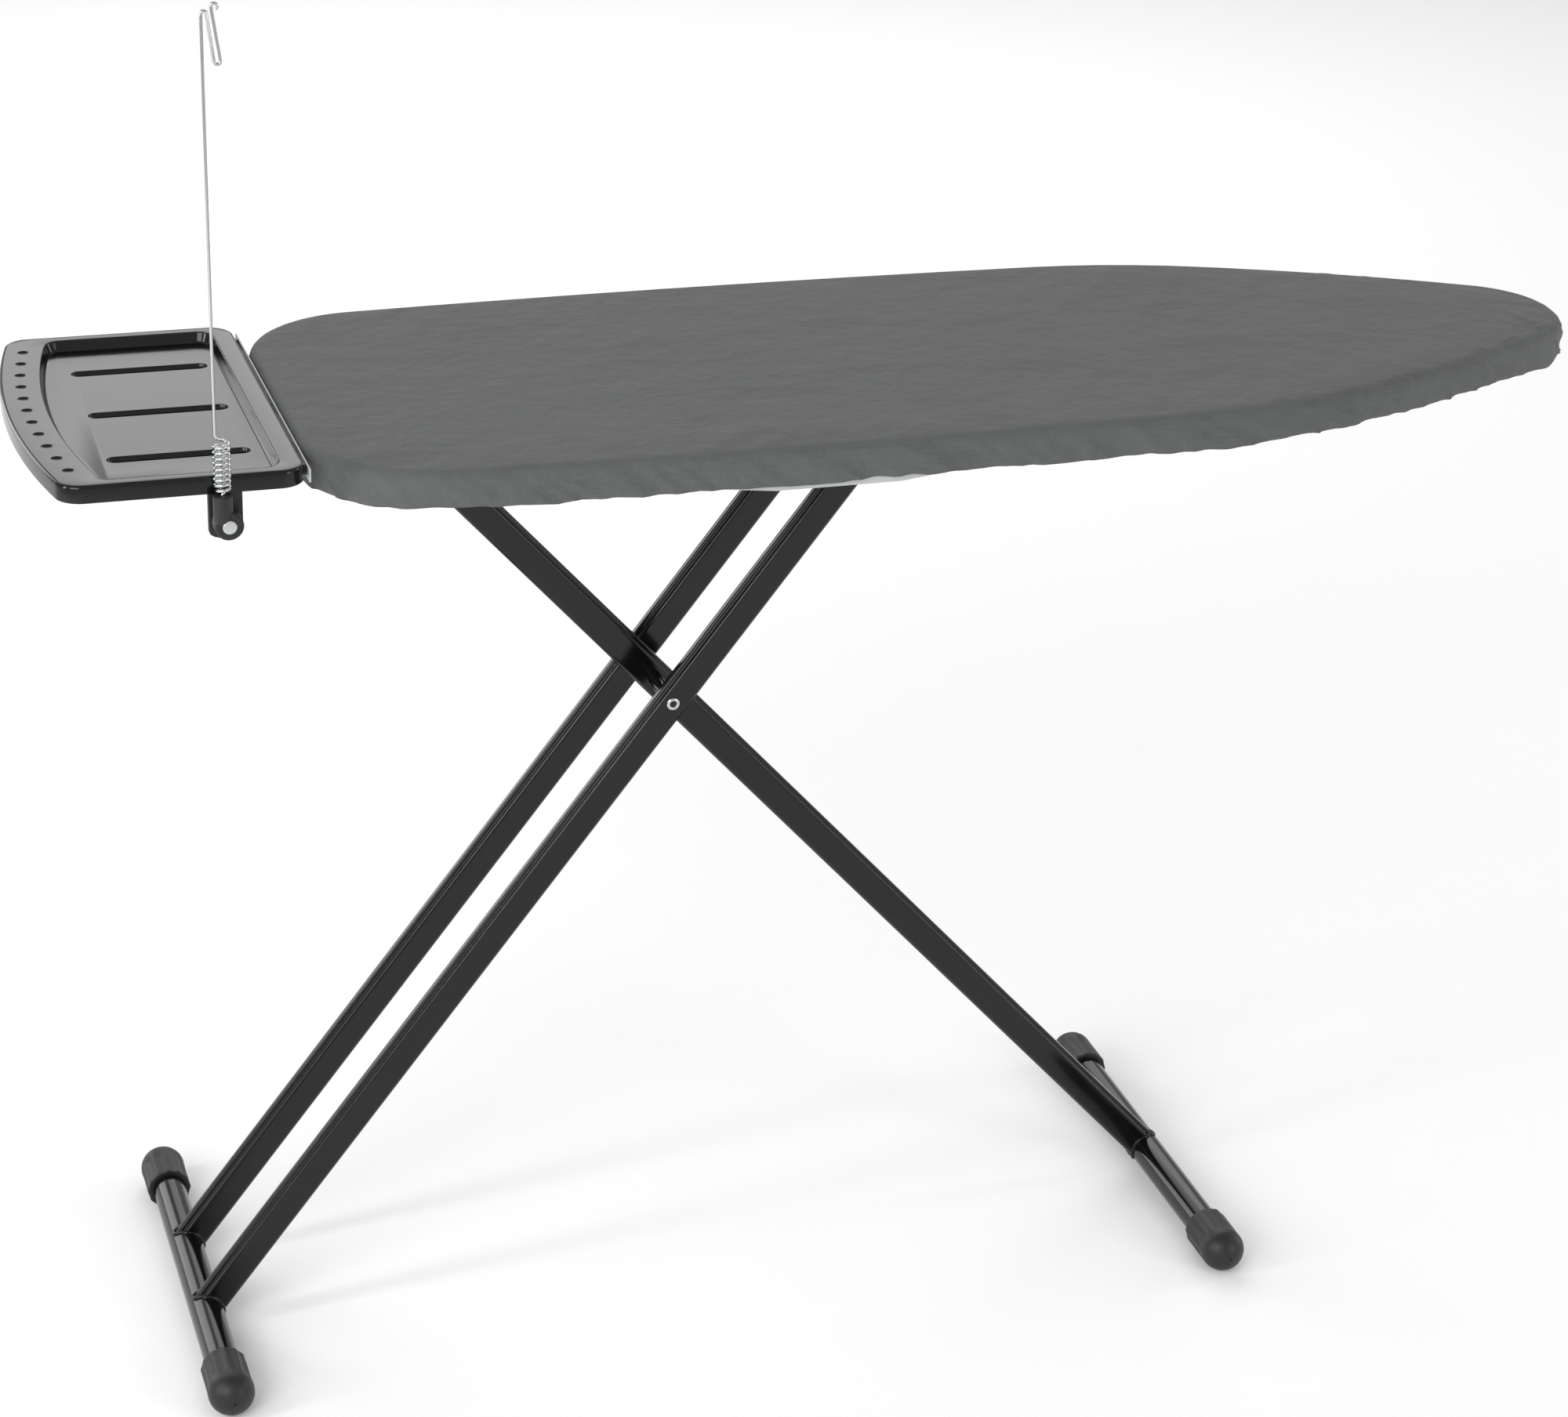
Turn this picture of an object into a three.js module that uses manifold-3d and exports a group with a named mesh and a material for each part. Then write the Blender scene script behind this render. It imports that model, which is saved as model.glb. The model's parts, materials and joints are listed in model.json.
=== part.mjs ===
// Folding ironing board: a padded and covered steel deck, an iron rest, a sprung cord
// holder and scissor legs that fold flat. Millimetres, +Z up, nose towards +X.
// The origin is on the floor, under the middle of the whole length.
import * as THREE from "three";
import { mergeVertices } from "three/addons/utils/BufferGeometryUtils.js";
import Module from "manifold-3d";

const wasm = await Module();
wasm.setup();

// ---------------------------------------------------------------- driving dimensions

const GAP = 0.3; // air left between pieces that touch or turn in each other

const BOARD_LENGTH = 1215; // covered board, square end to nose
const BOARD_WIDTH = 452; // covered board at its widest
const BOARD_HEIGHT = 887; // floor to ironing surface
const SKIRT_DEPTH = 31; // cover, top edge to hem

const TRAY_LENGTH = 220;
const TRAY_WIDTH = 380;
const TRAY_GAP = 6; // between the iron rest and the covered board

const FOOT_WIDTH = 442; // foot bar over its end caps
const FOOT_TUBE_RADIUS = 15.5;
const CAP_RADIUS = 21;

const LEG_DEPTH = 30.4; // over the stiffening rib
const LEG_THICKNESS = 16.5;
const RIB_WIDTH = 8.4;
const RIB_HEIGHT = 4.1;
const TUBE_WALL = 1.4;
const OUTER_LEG_Y = 57.8; // middle of each outer leg, from the centre plane

// ---------------------------------------------------------------- levels and stations

const COVER_THICKNESS = 1;
const PAD_THICKNESS = 7;
const DECK_THICKNESS = 1.4;
const RIM_DEPTH = 15; // deck's underside to the rim's lower edge
const APRON = { share: 0.359, half: 80, blend: 60, drop: 12 }; // deeper stretch of the rim

const PAD_TOP = BOARD_HEIGHT - COVER_THICKNESS - GAP;
const PAD_BOTTOM = PAD_TOP - PAD_THICKNESS;
const DECK_TOP = PAD_BOTTOM - GAP;
const DECK_UNDER = DECK_TOP - DECK_THICKNESS;
const RIM_BOTTOM = DECK_UNDER - RIM_DEPTH;
const HEM_Z = BOARD_HEIGHT - SKIRT_DEPTH;

const OVERALL_LENGTH = TRAY_LENGTH + TRAY_GAP + BOARD_LENGTH;
const TRAY_END_X = -OVERALL_LENGTH / 2;
const TRAY_INNER_X = TRAY_END_X + TRAY_LENGTH;
const BOARD_END_X = TRAY_INNER_X + TRAY_GAP;
const NOSE_X = OVERALL_LENGTH / 2;

// Scissor geometry, as fractions of the board's length and of the legs' height.
const AXLE_Z = DECK_UNDER - 22; // hinge of the inner leg and slide of the outer legs
const CROSSING = { x: BOARD_END_X + 0.2814 * BOARD_LENGTH, z: CAP_RADIUS + 0.684 * (AXLE_Z - CAP_RADIUS) };
const TAIL_FOOT = { x: CROSSING.x - 0.3597 * BOARD_LENGTH, z: CAP_RADIUS };
const NOSE_FOOT = { x: CROSSING.x + 0.4303 * BOARD_LENGTH, z: CAP_RADIUS };
const LEG_HINGE = pointAtHeight(NOSE_FOOT, CROSSING, AXLE_Z);
const LEG_SLIDE = pointAtHeight(TAIL_FOOT, CROSSING, AXLE_Z);
const LEG_END = 10; // leg tube beyond its top axle

// Where the sliding axle stands when the legs lie flat under the deck.
const FOLDED_SLIDE_X = LEG_HINGE.x + distance(LEG_HINGE, CROSSING) + distance(LEG_SLIDE, CROSSING);

function pointAtHeight(from, through, z) {
  const share = (z - from.z) / (through.z - from.z);
  return { x: from.x + share * (through.x - from.x), z };
}

function distance(a, b) {
  return Math.hypot(a.x - b.x, a.z - b.z);
}

// ---------------------------------------------------------------- materials

const MATERIALS = {
  greyCotton: { color: 0x6b6d6c, roughness: 0.95, metalness: 0 },
  felt: { color: 0xe4e1d8, roughness: 1, metalness: 0 },
  greySteel: { color: 0xb4b6b6, roughness: 0.45, metalness: 0.3 },
  blackSteel: { color: 0x1c1d1f, roughness: 0.3, metalness: 0.3 },
  blackPlastic: { color: 0x242526, roughness: 0.6, metalness: 0 },
  zincSteel: { color: 0xc4c6c8, roughness: 0.3, metalness: 1 },
};

// ---------------------------------------------------------------- solid helpers

// One closed, outward-facing skin with shared corners and no slivers.
function solid(geometry) {
  const bare = geometry.clone();
  bare.deleteAttribute("normal");
  bare.deleteAttribute("uv");
  const merged = mergeVertices(bare, 1e-4);
  const at = merged.attributes.position;
  const faces = [];
  for (let k = 0; k < merged.index.count; k += 3) {
    const [a, b, c] = [0, 1, 2].map((i) => merged.index.getX(k + i));
    if (a !== b && b !== c && c !== a) {
      faces.push([a, b, c]);
    }
  }
  const corner = (i) => new THREE.Vector3().fromBufferAttribute(at, i);
  const volume = faces.reduce((sum, [a, b, c]) => sum + corner(a).dot(corner(b).cross(corner(c))), 0);
  const outward = volume < 0 ? faces.map(([a, b, c]) => [a, c, b]) : faces;
  merged.setIndex(outward.flat());
  return merged;
}

function toManifold(geometry) {
  const skin = solid(geometry);
  return new wasm.Manifold(new wasm.Mesh({
    numProp: 3,
    vertProperties: new Float32Array(skin.attributes.position.array),
    triVerts: new Uint32Array(skin.index.array),
  }));
}

function toGeometry(manifold) {
  const mesh = manifold.getMesh();
  const geometry = new THREE.BufferGeometry();
  geometry.setAttribute("position", new THREE.BufferAttribute(mesh.vertProperties, 3));
  geometry.setIndex(new THREE.BufferAttribute(mesh.triVerts, 1));
  return geometry;
}

function cut(geometry, ...tools) {
  return toGeometry(tools.reduce((body, tool) => body.subtract(toManifold(tool)), toManifold(geometry)));
}

function join(geometry, ...others) {
  return toGeometry(others.reduce((body, other) => body.add(toManifold(other)), toManifold(geometry)));
}

// Skin through rings of equal point count, closed at both ends by a fan from the middle.
function loft(rings) {
  const count = rings[0].length;
  const points = rings.flat();
  const faces = [];
  for (let k = 0; k + 1 < rings.length; k += 1) {
    for (let i = 0; i < count; i += 1) {
      const a = k * count + i;
      const b = k * count + (i + 1) % count;
      faces.push(a, b, b + count, a, b + count, a + count);
    }
  }
  const lastStart = points.length - count;
  for (const [start, turn] of [[0, -1], [lastStart, 1]]) {
    const ring = points.slice(start, start + count);
    const middle = ring.reduce((sum, p) => sum.add(p), new THREE.Vector3()).divideScalar(count);
    const hub = points.push(middle) - 1;
    for (let i = 0; i < count; i += 1) {
      const edge = [start + i, start + (i + 1) % count];
      faces.push(hub, ...(turn > 0 ? edge : edge.reverse()));
    }
  }
  const geometry = new THREE.BufferGeometry().setFromPoints(points);
  geometry.setIndex(faces);
  return solid(geometry);
}

// Round bar along a list of points.
function wire(points, radius, sides = 6) {
  let across = new THREE.Vector3(0, 1, 0);
  const rings = points.map((point, k) => {
    const before = points[Math.max(k - 1, 0)];
    const after = points[Math.min(k + 1, points.length - 1)];
    const along = after.clone().sub(before).normalize();
    across = across.clone().addScaledVector(along, -across.dot(along)).normalize();
    const up = along.clone().cross(across);
    return Array.from({ length: sides }, (_, i) => {
      const turn = (i / sides) * 2 * Math.PI;
      return point.clone()
        .addScaledVector(across, radius * Math.cos(turn))
        .addScaledVector(up, radius * Math.sin(turn));
    });
  });
  return loft(rings);
}

// Turned body about a line along Y through (x, z); the profile is [radius, y] pairs.
function turned(profile, x, z, sides = 24) {
  const points = profile.map(([radius, y]) => new THREE.Vector2(radius, y));
  return solid(new THREE.LatheGeometry(points, sides).translate(x, 0, z));
}

// Hollow or plain round bar along Y, from y0 to y1.
function rod(radius, y0, y1, x, z, sides = 24) {
  return turned([[0, y0], [radius, y0], [radius, y1], [0, y1]], x, z, sides);
}

function pipe(radius, bore, y0, y1, x, z, sides = 24) {
  return turned([[bore, y0], [radius, y0], [radius, y1], [bore, y1], [bore, y0]], x, z, sides);
}

function box(x0, x1, y0, y1, z0, z1) {
  const block = new THREE.BoxGeometry(x1 - x0, y1 - y0, z1 - z0);
  return block.translate((x0 + x1) / 2, (y0 + y1) / 2, (z0 + z1) / 2);
}

// Plate standing in the XZ plane from a list of [x, z] corners, between y0 and y1.
function sidePlate(corners, y0, y1) {
  const shape = new THREE.Shape(corners.map(([x, z]) => new THREE.Vector2(x, z)));
  const plate = new THREE.ExtrudeGeometry(shape, { depth: y1 - y0, bevelEnabled: false });
  return solid(plate.rotateX(Math.PI / 2).translate(0, y1, 0));
}

// Bar along X from a list of [y, z] corners.
function lengthwiseBar(corners, x0, x1) {
  const shape = new THREE.Shape(corners.map(([y, z]) => new THREE.Vector2(y, z)));
  const bar = new THREE.ExtrudeGeometry(shape, { depth: x1 - x0, bevelEnabled: false });
  return solid(bar.rotateX(Math.PI / 2).rotateZ(Math.PI / 2).translate(x0, 0, 0));
}

const group = new THREE.Group();
group.name = "ironing_board";

function add(name, geometry, material) {
  const mesh = new THREE.Mesh(solid(geometry), new THREE.MeshStandardMaterial(MATERIALS[material]));
  mesh.name = name;
  group.add(mesh);
}

// Runs once for the near side (-Y) and once for the far side.
function eachSide(build) {
  build("near", -1);
  build("far", 1);
}

// Span along Y between two distances from the centre plane, on the given side.
function spanY(side, inner, outer) {
  return side > 0 ? [inner, outer] : [-outer, -inner];
}

// ---------------------------------------------------------------- outlines

// Ring at height z, set in from an outline given as the arcs of its far half.
// An arc's angles run from +Y towards +X.
function outlineRing(arcs, inset, z) {
  const farHalf = arcs.flatMap((arc) => Array.from({ length: arc.steps + 1 }, (_, i) => {
    const angle = arc.from + (arc.to - arc.from) * (i / arc.steps);
    const radius = arc.r - inset;
    return new THREE.Vector3(arc.x + radius * Math.sin(angle), arc.y + radius * Math.cos(angle), z);
  }));
  const nearHalf = farHalf.filter((p) => p.y > 1e-6).reverse().map((p) => new THREE.Vector3(p.x, -p.y, z));
  return [...farHalf, ...nearHalf];
}

// Covered board: round corners, nearly straight sides, a shoulder, a flank and a nose.
// Each arc starts where the last one ends and in the same direction.
function boardArcs() {
  const side = { x: BOARD_END_X + 0.369 * BOARD_LENGTH, r: 6.33 * BOARD_LENGTH, steps: 12 };
  side.y = BOARD_WIDTH / 2 - side.r;
  const corner = { r: 0.49 * BOARD_WIDTH / 2, steps: 8 };
  corner.x = BOARD_END_X + corner.r;
  corner.y = side.y + Math.sqrt((side.r - corner.r) ** 2 - (corner.x - side.x) ** 2);
  side.from = Math.atan2(corner.x - side.x, corner.y - side.y);
  side.to = Math.asin((BOARD_END_X + 0.634 * BOARD_LENGTH - side.x) / side.r);
  const shoulder = continued(side, { r: 0.44 * BOARD_LENGTH, to: 0.336, steps: 5 });
  const flank = continued(shoulder, { r: 1.166 * BOARD_LENGTH, steps: 4 });
  // The nose is the circle on the centre line that meets the flank and ends at the tip.
  const reach = NOSE_X - flank.x;
  const nose = { y: 0, r: (flank.r ** 2 - flank.y ** 2 - reach ** 2) / (2 * (flank.r - reach)), steps: 8 };
  nose.x = NOSE_X - nose.r;
  flank.to = Math.acos(-flank.y / (flank.r - nose.r));
  return [
    { ...corner, from: -Math.PI / 2, to: side.from },
    side,
    shoulder,
    flank,
    { ...nose, from: flank.to, to: Math.PI / 2 },
  ];
}

// Centre and starting angle of an arc that carries on from the one before it.
function continued(before, arc) {
  const shift = before.r - arc.r;
  return {
    ...arc,
    x: before.x + shift * Math.sin(before.to),
    y: before.y + shift * Math.cos(before.to),
    from: before.to,
  };
}

// Rectangle with round corners whose tail end is a shallow arc.
function bowedArcs(x0, x1, halfWidth, endRadius, cornerRadius) {
  const end = { x: x0 + endRadius, y: 0, r: endRadius, steps: 5 };
  const corner = { y: halfWidth - cornerRadius, r: cornerRadius, steps: 4 };
  corner.x = end.x - Math.sqrt((end.r - corner.r) ** 2 - corner.y ** 2);
  const meeting = Math.atan2(corner.x - end.x, corner.y);
  return [
    { ...end, from: -Math.PI / 2, to: meeting },
    { ...corner, from: meeting, to: 0 },
    { ...corner, x: x1 - cornerRadius, from: 0, to: Math.PI / 2 },
  ];
}

// Slot shape at height z: straight sides along X with round ends.
function slotRing(x0, x1, y, radius, z, steps) {
  return [[x1 - radius, -0.5], [x0 + radius, 0.5]].flatMap(([x, start]) =>
    Array.from({ length: steps + 1 }, (_, i) => {
      const angle = (start + i / steps) * Math.PI;
      return new THREE.Vector3(x + radius * Math.cos(angle), y + radius * Math.sin(angle), z);
    }));
}

// ---------------------------------------------------------------- board: cover, pad, deck

const BOARD = boardArcs();
const EDGE_ROUND = 10; // top edge of the covered board
const EDGE_Z = BOARD_HEIGHT - EDGE_ROUND;

// Rings around the padded edge at the given distance inside the cover's outer face.
function edgeRings(depth, fromZ, steps) {
  const radius = EDGE_ROUND - depth;
  const start = Math.asin((fromZ - EDGE_Z) / radius);
  return Array.from({ length: steps + 1 }, (_, i) => {
    const angle = start + (Math.PI / 2 - start) * (i / steps);
    return outlineRing(BOARD, EDGE_ROUND - radius * Math.cos(angle), EDGE_Z + radius * Math.sin(angle));
  });
}

function buildCover() {
  const inner = [outlineRing(BOARD, COVER_THICKNESS, HEM_Z), ...edgeRings(COVER_THICKNESS, EDGE_Z, 3)];
  const outer = [outlineRing(BOARD, 0, HEM_Z), ...edgeRings(0, EDGE_Z, 3)];
  add("cover", loft([...inner.reverse(), ...outer]), "greyCotton");
}

function buildPad() {
  add("pad", loft(edgeRings(COVER_THICKNESS + GAP, PAD_BOTTOM, 3)), "felt");
}

// Ring of the rim's lower part, lifted from its edge, which dips along the apron and,
// down to the hem, across the flat of the square end.
function rimRing(inset, lift) {
  const middle = BOARD_END_X + APRON.share * BOARD_LENGTH;
  return outlineRing(BOARD, inset, 0).map((p) => {
    const beyond = THREE.MathUtils.smoothstep(Math.abs(p.x - middle), APRON.half, APRON.half + APRON.blend);
    const atEnd = p.x < BOARD_END_X + inset + 1;
    return p.setZ((atEnd ? HEM_Z : RIM_BOTTOM - APRON.drop * (1 - beyond)) + lift);
  });
}

// Pressed steel deck with steam slots and a rim that is folded down and in.
function buildDeck() {
  const inset = COVER_THICKNESS + 0.5;
  const lip = inset + 8;
  const shell = loft([
    outlineRing(BOARD, inset + DECK_THICKNESS, DECK_UNDER),
    rimRing(inset + DECK_THICKNESS, DECK_THICKNESS),
    rimRing(lip, DECK_THICKNESS),
    rimRing(lip, 0),
    rimRing(inset, 0),
    outlineRing(BOARD, inset, DECK_TOP - 2),
    outlineRing(BOARD, inset + 0.6, DECK_TOP - 0.6),
    outlineRing(BOARD, inset + 2, DECK_TOP),
  ]);
  add("deck", cut(shell, ...steamSlots()), "greySteel");
}

// Staggered six-sided slots, kept a margin inside the deck's rim.
function steamSlots() {
  const pitch = { x: 120, y: 60 };
  const half = { length: 24, width: 7 };
  const margin = 22;
  const slots = [];
  for (let row = -3; row <= 3; row += 1) {
    const y = row * pitch.y;
    const stagger = row % 2 === 0 ? 0 : pitch.x / 2;
    for (let x = BOARD_END_X + 50 + stagger; x < NOSE_X - 40; x += pitch.x) {
      if (Math.abs(y) + half.width + margin < boardHalfWidthAt(x + half.length)) {
        slots.push(steamSlot(x, y, half));
      }
    }
  }
  return slots;
}

function steamSlot(x, y, half) {
  const corners = [[-1, 0], [-0.6, -1], [0.6, -1], [1, 0], [0.6, 1], [-0.6, 1]];
  const ring = (z) => corners.map(([u, v]) => new THREE.Vector3(x + u * half.length, y + v * half.width, z));
  return loft([ring(DECK_UNDER - 1), ring(DECK_TOP + 1)]);
}

// Half width of the covered board at a station along X, read off its outline.
function boardHalfWidthAt(x) {
  const ring = outlineRing(BOARD, 0, 0).filter((p) => p.y >= 0);
  const next = ring.findIndex((p) => p.x >= x);
  if (next < 1) {
    return 0;
  }
  const [a, b] = [ring[next - 1], ring[next]];
  return a.y + (b.y - a.y) * (x - a.x) / (b.x - a.x);
}

// ---------------------------------------------------------------- iron rest

const TRAY_TOP = BOARD_HEIGHT + 1.5;
const TRAY_SHEET = 1.2;
const TRAY_SKIRT = 15;
const RECESS_DEPTH = 9;
const PANEL_Z = TRAY_TOP - RECESS_DEPTH;
const PANEL_UNDER = PANEL_Z - TRAY_SHEET;
const TRAY_BOTTOM = TRAY_TOP - TRAY_SKIRT;
const TRAY_END_RADIUS = 2.11 * TRAY_WIDTH;
const TRAY = bowedArcs(TRAY_END_X, TRAY_INNER_X, TRAY_WIDTH / 2, TRAY_END_RADIUS, 22);
const RIM = { end: 34, inner: 18, side: 12 }; // flat border around the recess
const RECESS = bowedArcs(
  TRAY_END_X + RIM.end, TRAY_INNER_X - RIM.inner, TRAY_WIDTH / 2 - RIM.side, TRAY_END_RADIUS - RIM.end, 16);

// Pressed sheet: flat border, sunken panel and a skirt, the same thickness throughout.
function buildTray() {
  const sheet = loft([
    outlineRing(RECESS, 4.4, PANEL_UNDER),
    outlineRing(RECESS, 2.2, PANEL_UNDER + 0.6),
    outlineRing(RECESS, -0.2, TRAY_TOP - TRAY_SHEET - 1),
    outlineRing(RECESS, -1.2, TRAY_TOP - TRAY_SHEET),
    outlineRing(TRAY, 3.2, TRAY_TOP - TRAY_SHEET),
    outlineRing(TRAY, TRAY_SHEET, TRAY_TOP - 3.2),
    outlineRing(TRAY, TRAY_SHEET, TRAY_BOTTOM),
    outlineRing(TRAY, 0, TRAY_BOTTOM),
    outlineRing(TRAY, 0, TRAY_TOP - 3),
    outlineRing(TRAY, 0.9, TRAY_TOP - 0.9),
    outlineRing(TRAY, 3, TRAY_TOP),
    outlineRing(RECESS, 0, TRAY_TOP),
    outlineRing(RECESS, 1.2, TRAY_TOP - 1),
    outlineRing(RECESS, 3.4, PANEL_Z + 1),
    outlineRing(RECESS, 5, PANEL_Z),
  ]);
  const marks = [...trayGrooves(), ...trayDimples()];
  const embossed = join(sheet, ...marks.map((mark) => mark.under));
  const rivetHole = (side) => alongX(2.2, TRAY_INNER_X - 4, TRAY_INNER_X + 2, side * RIVET_Y, RIVET_Z);
  const rivetHoles = [-1, 1].map(rivetHole);
  add("tray", cut(embossed, ...marks.map((mark) => mark.over), ...rivetHoles), "blackSteel");
}

// Three drip grooves along X: the pressing under the panel and the hollow above it.
function trayGrooves() {
  const [x0, x1] = [TRAY_END_X + 76, TRAY_INNER_X - 40];
  const depth = 3.5;
  return [-1, 0, 1].map((row) => {
    const y = row * 0.29 * TRAY_WIDTH;
    const ring = (radius, z) => slotRing(x0 - radius, x1 + radius, y, radius, z, 5);
    return {
      under: loft([ring(6.6, PANEL_UNDER + 0.4), ring(4.6, PANEL_UNDER - depth)]),
      over: loft([ring(5.6, PANEL_Z + 0.4), ring(3.4, PANEL_Z - depth)]),
    };
  });
}

// A row of round dimples that follows the bowed end.
function trayDimples() {
  const count = 11;
  const pitch = 0.0795 * TRAY_WIDTH;
  const depth = 2;
  const radius = TRAY_END_RADIUS - 18;
  return Array.from({ length: count }, (_, i) => {
    const y = (i - (count - 1) / 2) * pitch;
    const x = TRAY_END_X + TRAY_END_RADIUS - Math.sqrt(radius ** 2 - y ** 2);
    const ring = (r, z) => Array.from({ length: 9 }, (_, k) => {
      const angle = (k / 9) * 2 * Math.PI;
      return new THREE.Vector3(x + r * Math.cos(angle), y + r * Math.sin(angle), z);
    });
    return {
      under: loft([ring(5.6, TRAY_TOP - TRAY_SHEET + 0.3), ring(3.6, TRAY_TOP - TRAY_SHEET - depth)]),
      over: loft([ring(4.8, TRAY_TOP + 0.3), ring(2.4, TRAY_TOP - depth)]),
    };
  });
}

// Round bar or bolt along X.
function alongX(radius, x0, x1, y, z, sides = 16) {
  const bar = new THREE.CylinderGeometry(radius, radius, x1 - x0, sides);
  return solid(bar.rotateZ(Math.PI / 2).translate((x0 + x1) / 2, y, z));
}

// Upright round bar or bolt.
function upright(radius, z0, z1, x, y, sides = 16) {
  const bar = new THREE.CylinderGeometry(radius, radius, z1 - z0, sides);
  return solid(bar.rotateX(Math.PI / 2).translate(x, y, (z0 + z1) / 2));
}

// Angle plate on the board's square end, which the iron rest hangs on.
const PLATE_X = BOARD_END_X - 1; // inner face of its upright leaf
const PLATE_THICKNESS = 1.5;
const PLATE_HALF_WIDTH = 0.395 * BOARD_WIDTH;
const RIVET_Y = Math.min(0.43 * TRAY_WIDTH, PLATE_HALF_WIDTH - 15);
const RIVET_Z = TRAY_BOTTOM + 5;
const ARM_Y = 0.145 * TRAY_WIDTH;
const ARM_WIDTH = 22;
const ARM_BOLT_X = PLATE_X + 22;
const PLATE_LEVEL = HEM_Z - GAP; // upper face of its level leaf

// Its lower part stays on the flat of the square end; its upper strip is wider.
function buildTrayMountPlate() {
  const top = BOARD_HEIGHT - 3;
  const under = PLATE_LEVEL;
  const inner = 0.25 * BOARD_WIDTH;
  const angle = sidePlate([
    [PLATE_X - PLATE_THICKNESS, under - PLATE_THICKNESS],
    [PLATE_X + 38, under - PLATE_THICKNESS],
    [PLATE_X + 38, under],
    [PLATE_X, under],
    [PLATE_X, top],
    [PLATE_X - PLATE_THICKNESS, top],
  ], -inner, inner);
  const strip = box(PLATE_X - PLATE_THICKNESS, PLATE_X, -PLATE_HALF_WIDTH, PLATE_HALF_WIDTH, RIVET_Z - 6, top);
  const holes = [-1, 1].flatMap((side) => [
    alongX(2.2, PLATE_X - 5, PLATE_X + 5, side * RIVET_Y, RIVET_Z),
    upright(3.3, under - 5, under + 5, ARM_BOLT_X, side * ARM_Y),
  ]);
  add("tray_mount_plate", cut(join(angle, strip), ...holes), "greySteel");
}

// Cranked steel bars that carry the iron rest from under the board.
function buildTrayArm(where, side) {
  const thickness = 3;
  const low = PLATE_LEVEL - PLATE_THICKNESS - GAP;
  const high = PANEL_UNDER - GAP;
  const bar = sidePlate([
    [PLATE_X + 36, low],
    [PLATE_X - 4, low],
    [TRAY_INNER_X - 32, high],
    [TRAY_END_X + 42, high],
    [TRAY_END_X + 42, high - thickness],
    [TRAY_INNER_X - 33, high - thickness],
    [PLATE_X - 5, low - thickness],
    [PLATE_X + 36, low - thickness],
  ], ...spanY(side, ARM_Y - ARM_WIDTH / 2, ARM_Y + ARM_WIDTH / 2));
  const hole = upright(3.3, low - 5, low + 2, ARM_BOLT_X, side * ARM_Y);
  add(`tray_arm_${where}`, cut(bar, hole), "blackSteel");
}

// Bolt from below through the arm and the plate, with a nut inside the rim.
function buildArmBolt(where, side) {
  const plateTop = PLATE_LEVEL;
  const armBottom = plateTop - PLATE_THICKNESS - GAP - 3;
  const y = side * ARM_Y;
  const head = upright(5.5, armBottom - GAP - 4, armBottom - GAP, ARM_BOLT_X, y, 6);
  const shank = upright(3, armBottom - GAP - 1, plateTop + 8, ARM_BOLT_X, y);
  const nut = upright(5.5, plateTop + GAP, plateTop + GAP + 5, ARM_BOLT_X, y, 6);
  add(`arm_bolt_${where}`, join(head, shank, nut), "zincSteel");
}

// Rivet through the iron rest's skirt, a spacer collar and the mount plate.
function buildTrayRivet(where, side) {
  const y = side * RIVET_Y;
  const inside = TRAY_INNER_X - TRAY_SHEET;
  const outside = PLATE_X - PLATE_THICKNESS;
  const head = alongX(4, inside - GAP - 1.5, inside - GAP, y, RIVET_Z);
  const shank = alongX(2, inside - 1, PLATE_X, y, RIVET_Z);
  const collar = alongX(5, TRAY_INNER_X + GAP, outside - GAP, y, RIVET_Z);
  add(`tray_rivet_${where}`, join(head, shank, collar), "blackSteel");
}

// ---------------------------------------------------------------- cord holder

const CORD_Y = -(TRAY_WIDTH / 2 + 10); // plane in which the cord holder swings
const CORD_PIN = { x: TRAY_INNER_X - 67, z: BOARD_HEIGHT - 37 };
const COIL = { x: CORD_PIN.x - 4, z: CORD_PIN.z + 28, radius: 6, turns: 9, pitch: 4.6 };
const WIRE_RADIUS = 1.4;
const SOCKET_RADIUS = 8;

// Plastic plate inside the skirt, with a tongue bolted under the sunken panel.
const BRACKET_Y = -(TRAY_WIDTH / 2 - TRAY_SHEET - 0.8); // outer face
const TONGUE = { y: BRACKET_Y + 42, bolt: BRACKET_Y + 28, thickness: 5 };

function buildCordBracket() {
  const half = 14;
  const thickness = 6;
  const tongueTop = PANEL_UNDER - GAP;
  const corners = Array.from({ length: 9 }, (_, i) => {
    const angle = Math.PI + (i / 8) * Math.PI;
    return [CORD_PIN.x + half * Math.cos(angle), CORD_PIN.z - 10 + 6.5 * Math.sin(angle)];
  });
  corners.push([CORD_PIN.x + half, tongueTop + 6], [CORD_PIN.x - half, tongueTop + 6]);
  const plate = sidePlate(corners, BRACKET_Y, BRACKET_Y + thickness);
  const tongue = box(CORD_PIN.x - half, CORD_PIN.x + half, BRACKET_Y + 1, TONGUE.y,
    tongueTop - TONGUE.thickness, tongueTop);
  const pinHole = rod(3.2, BRACKET_Y - 1, BRACKET_Y + thickness + 1, CORD_PIN.x, CORD_PIN.z);
  const boltHole = upright(2.4, tongueTop - 8, tongueTop + 1, CORD_PIN.x, TONGUE.bolt);
  add("cord_bracket", cut(join(plate, tongue), pinHole, boltHole), "blackPlastic");
}

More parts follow.
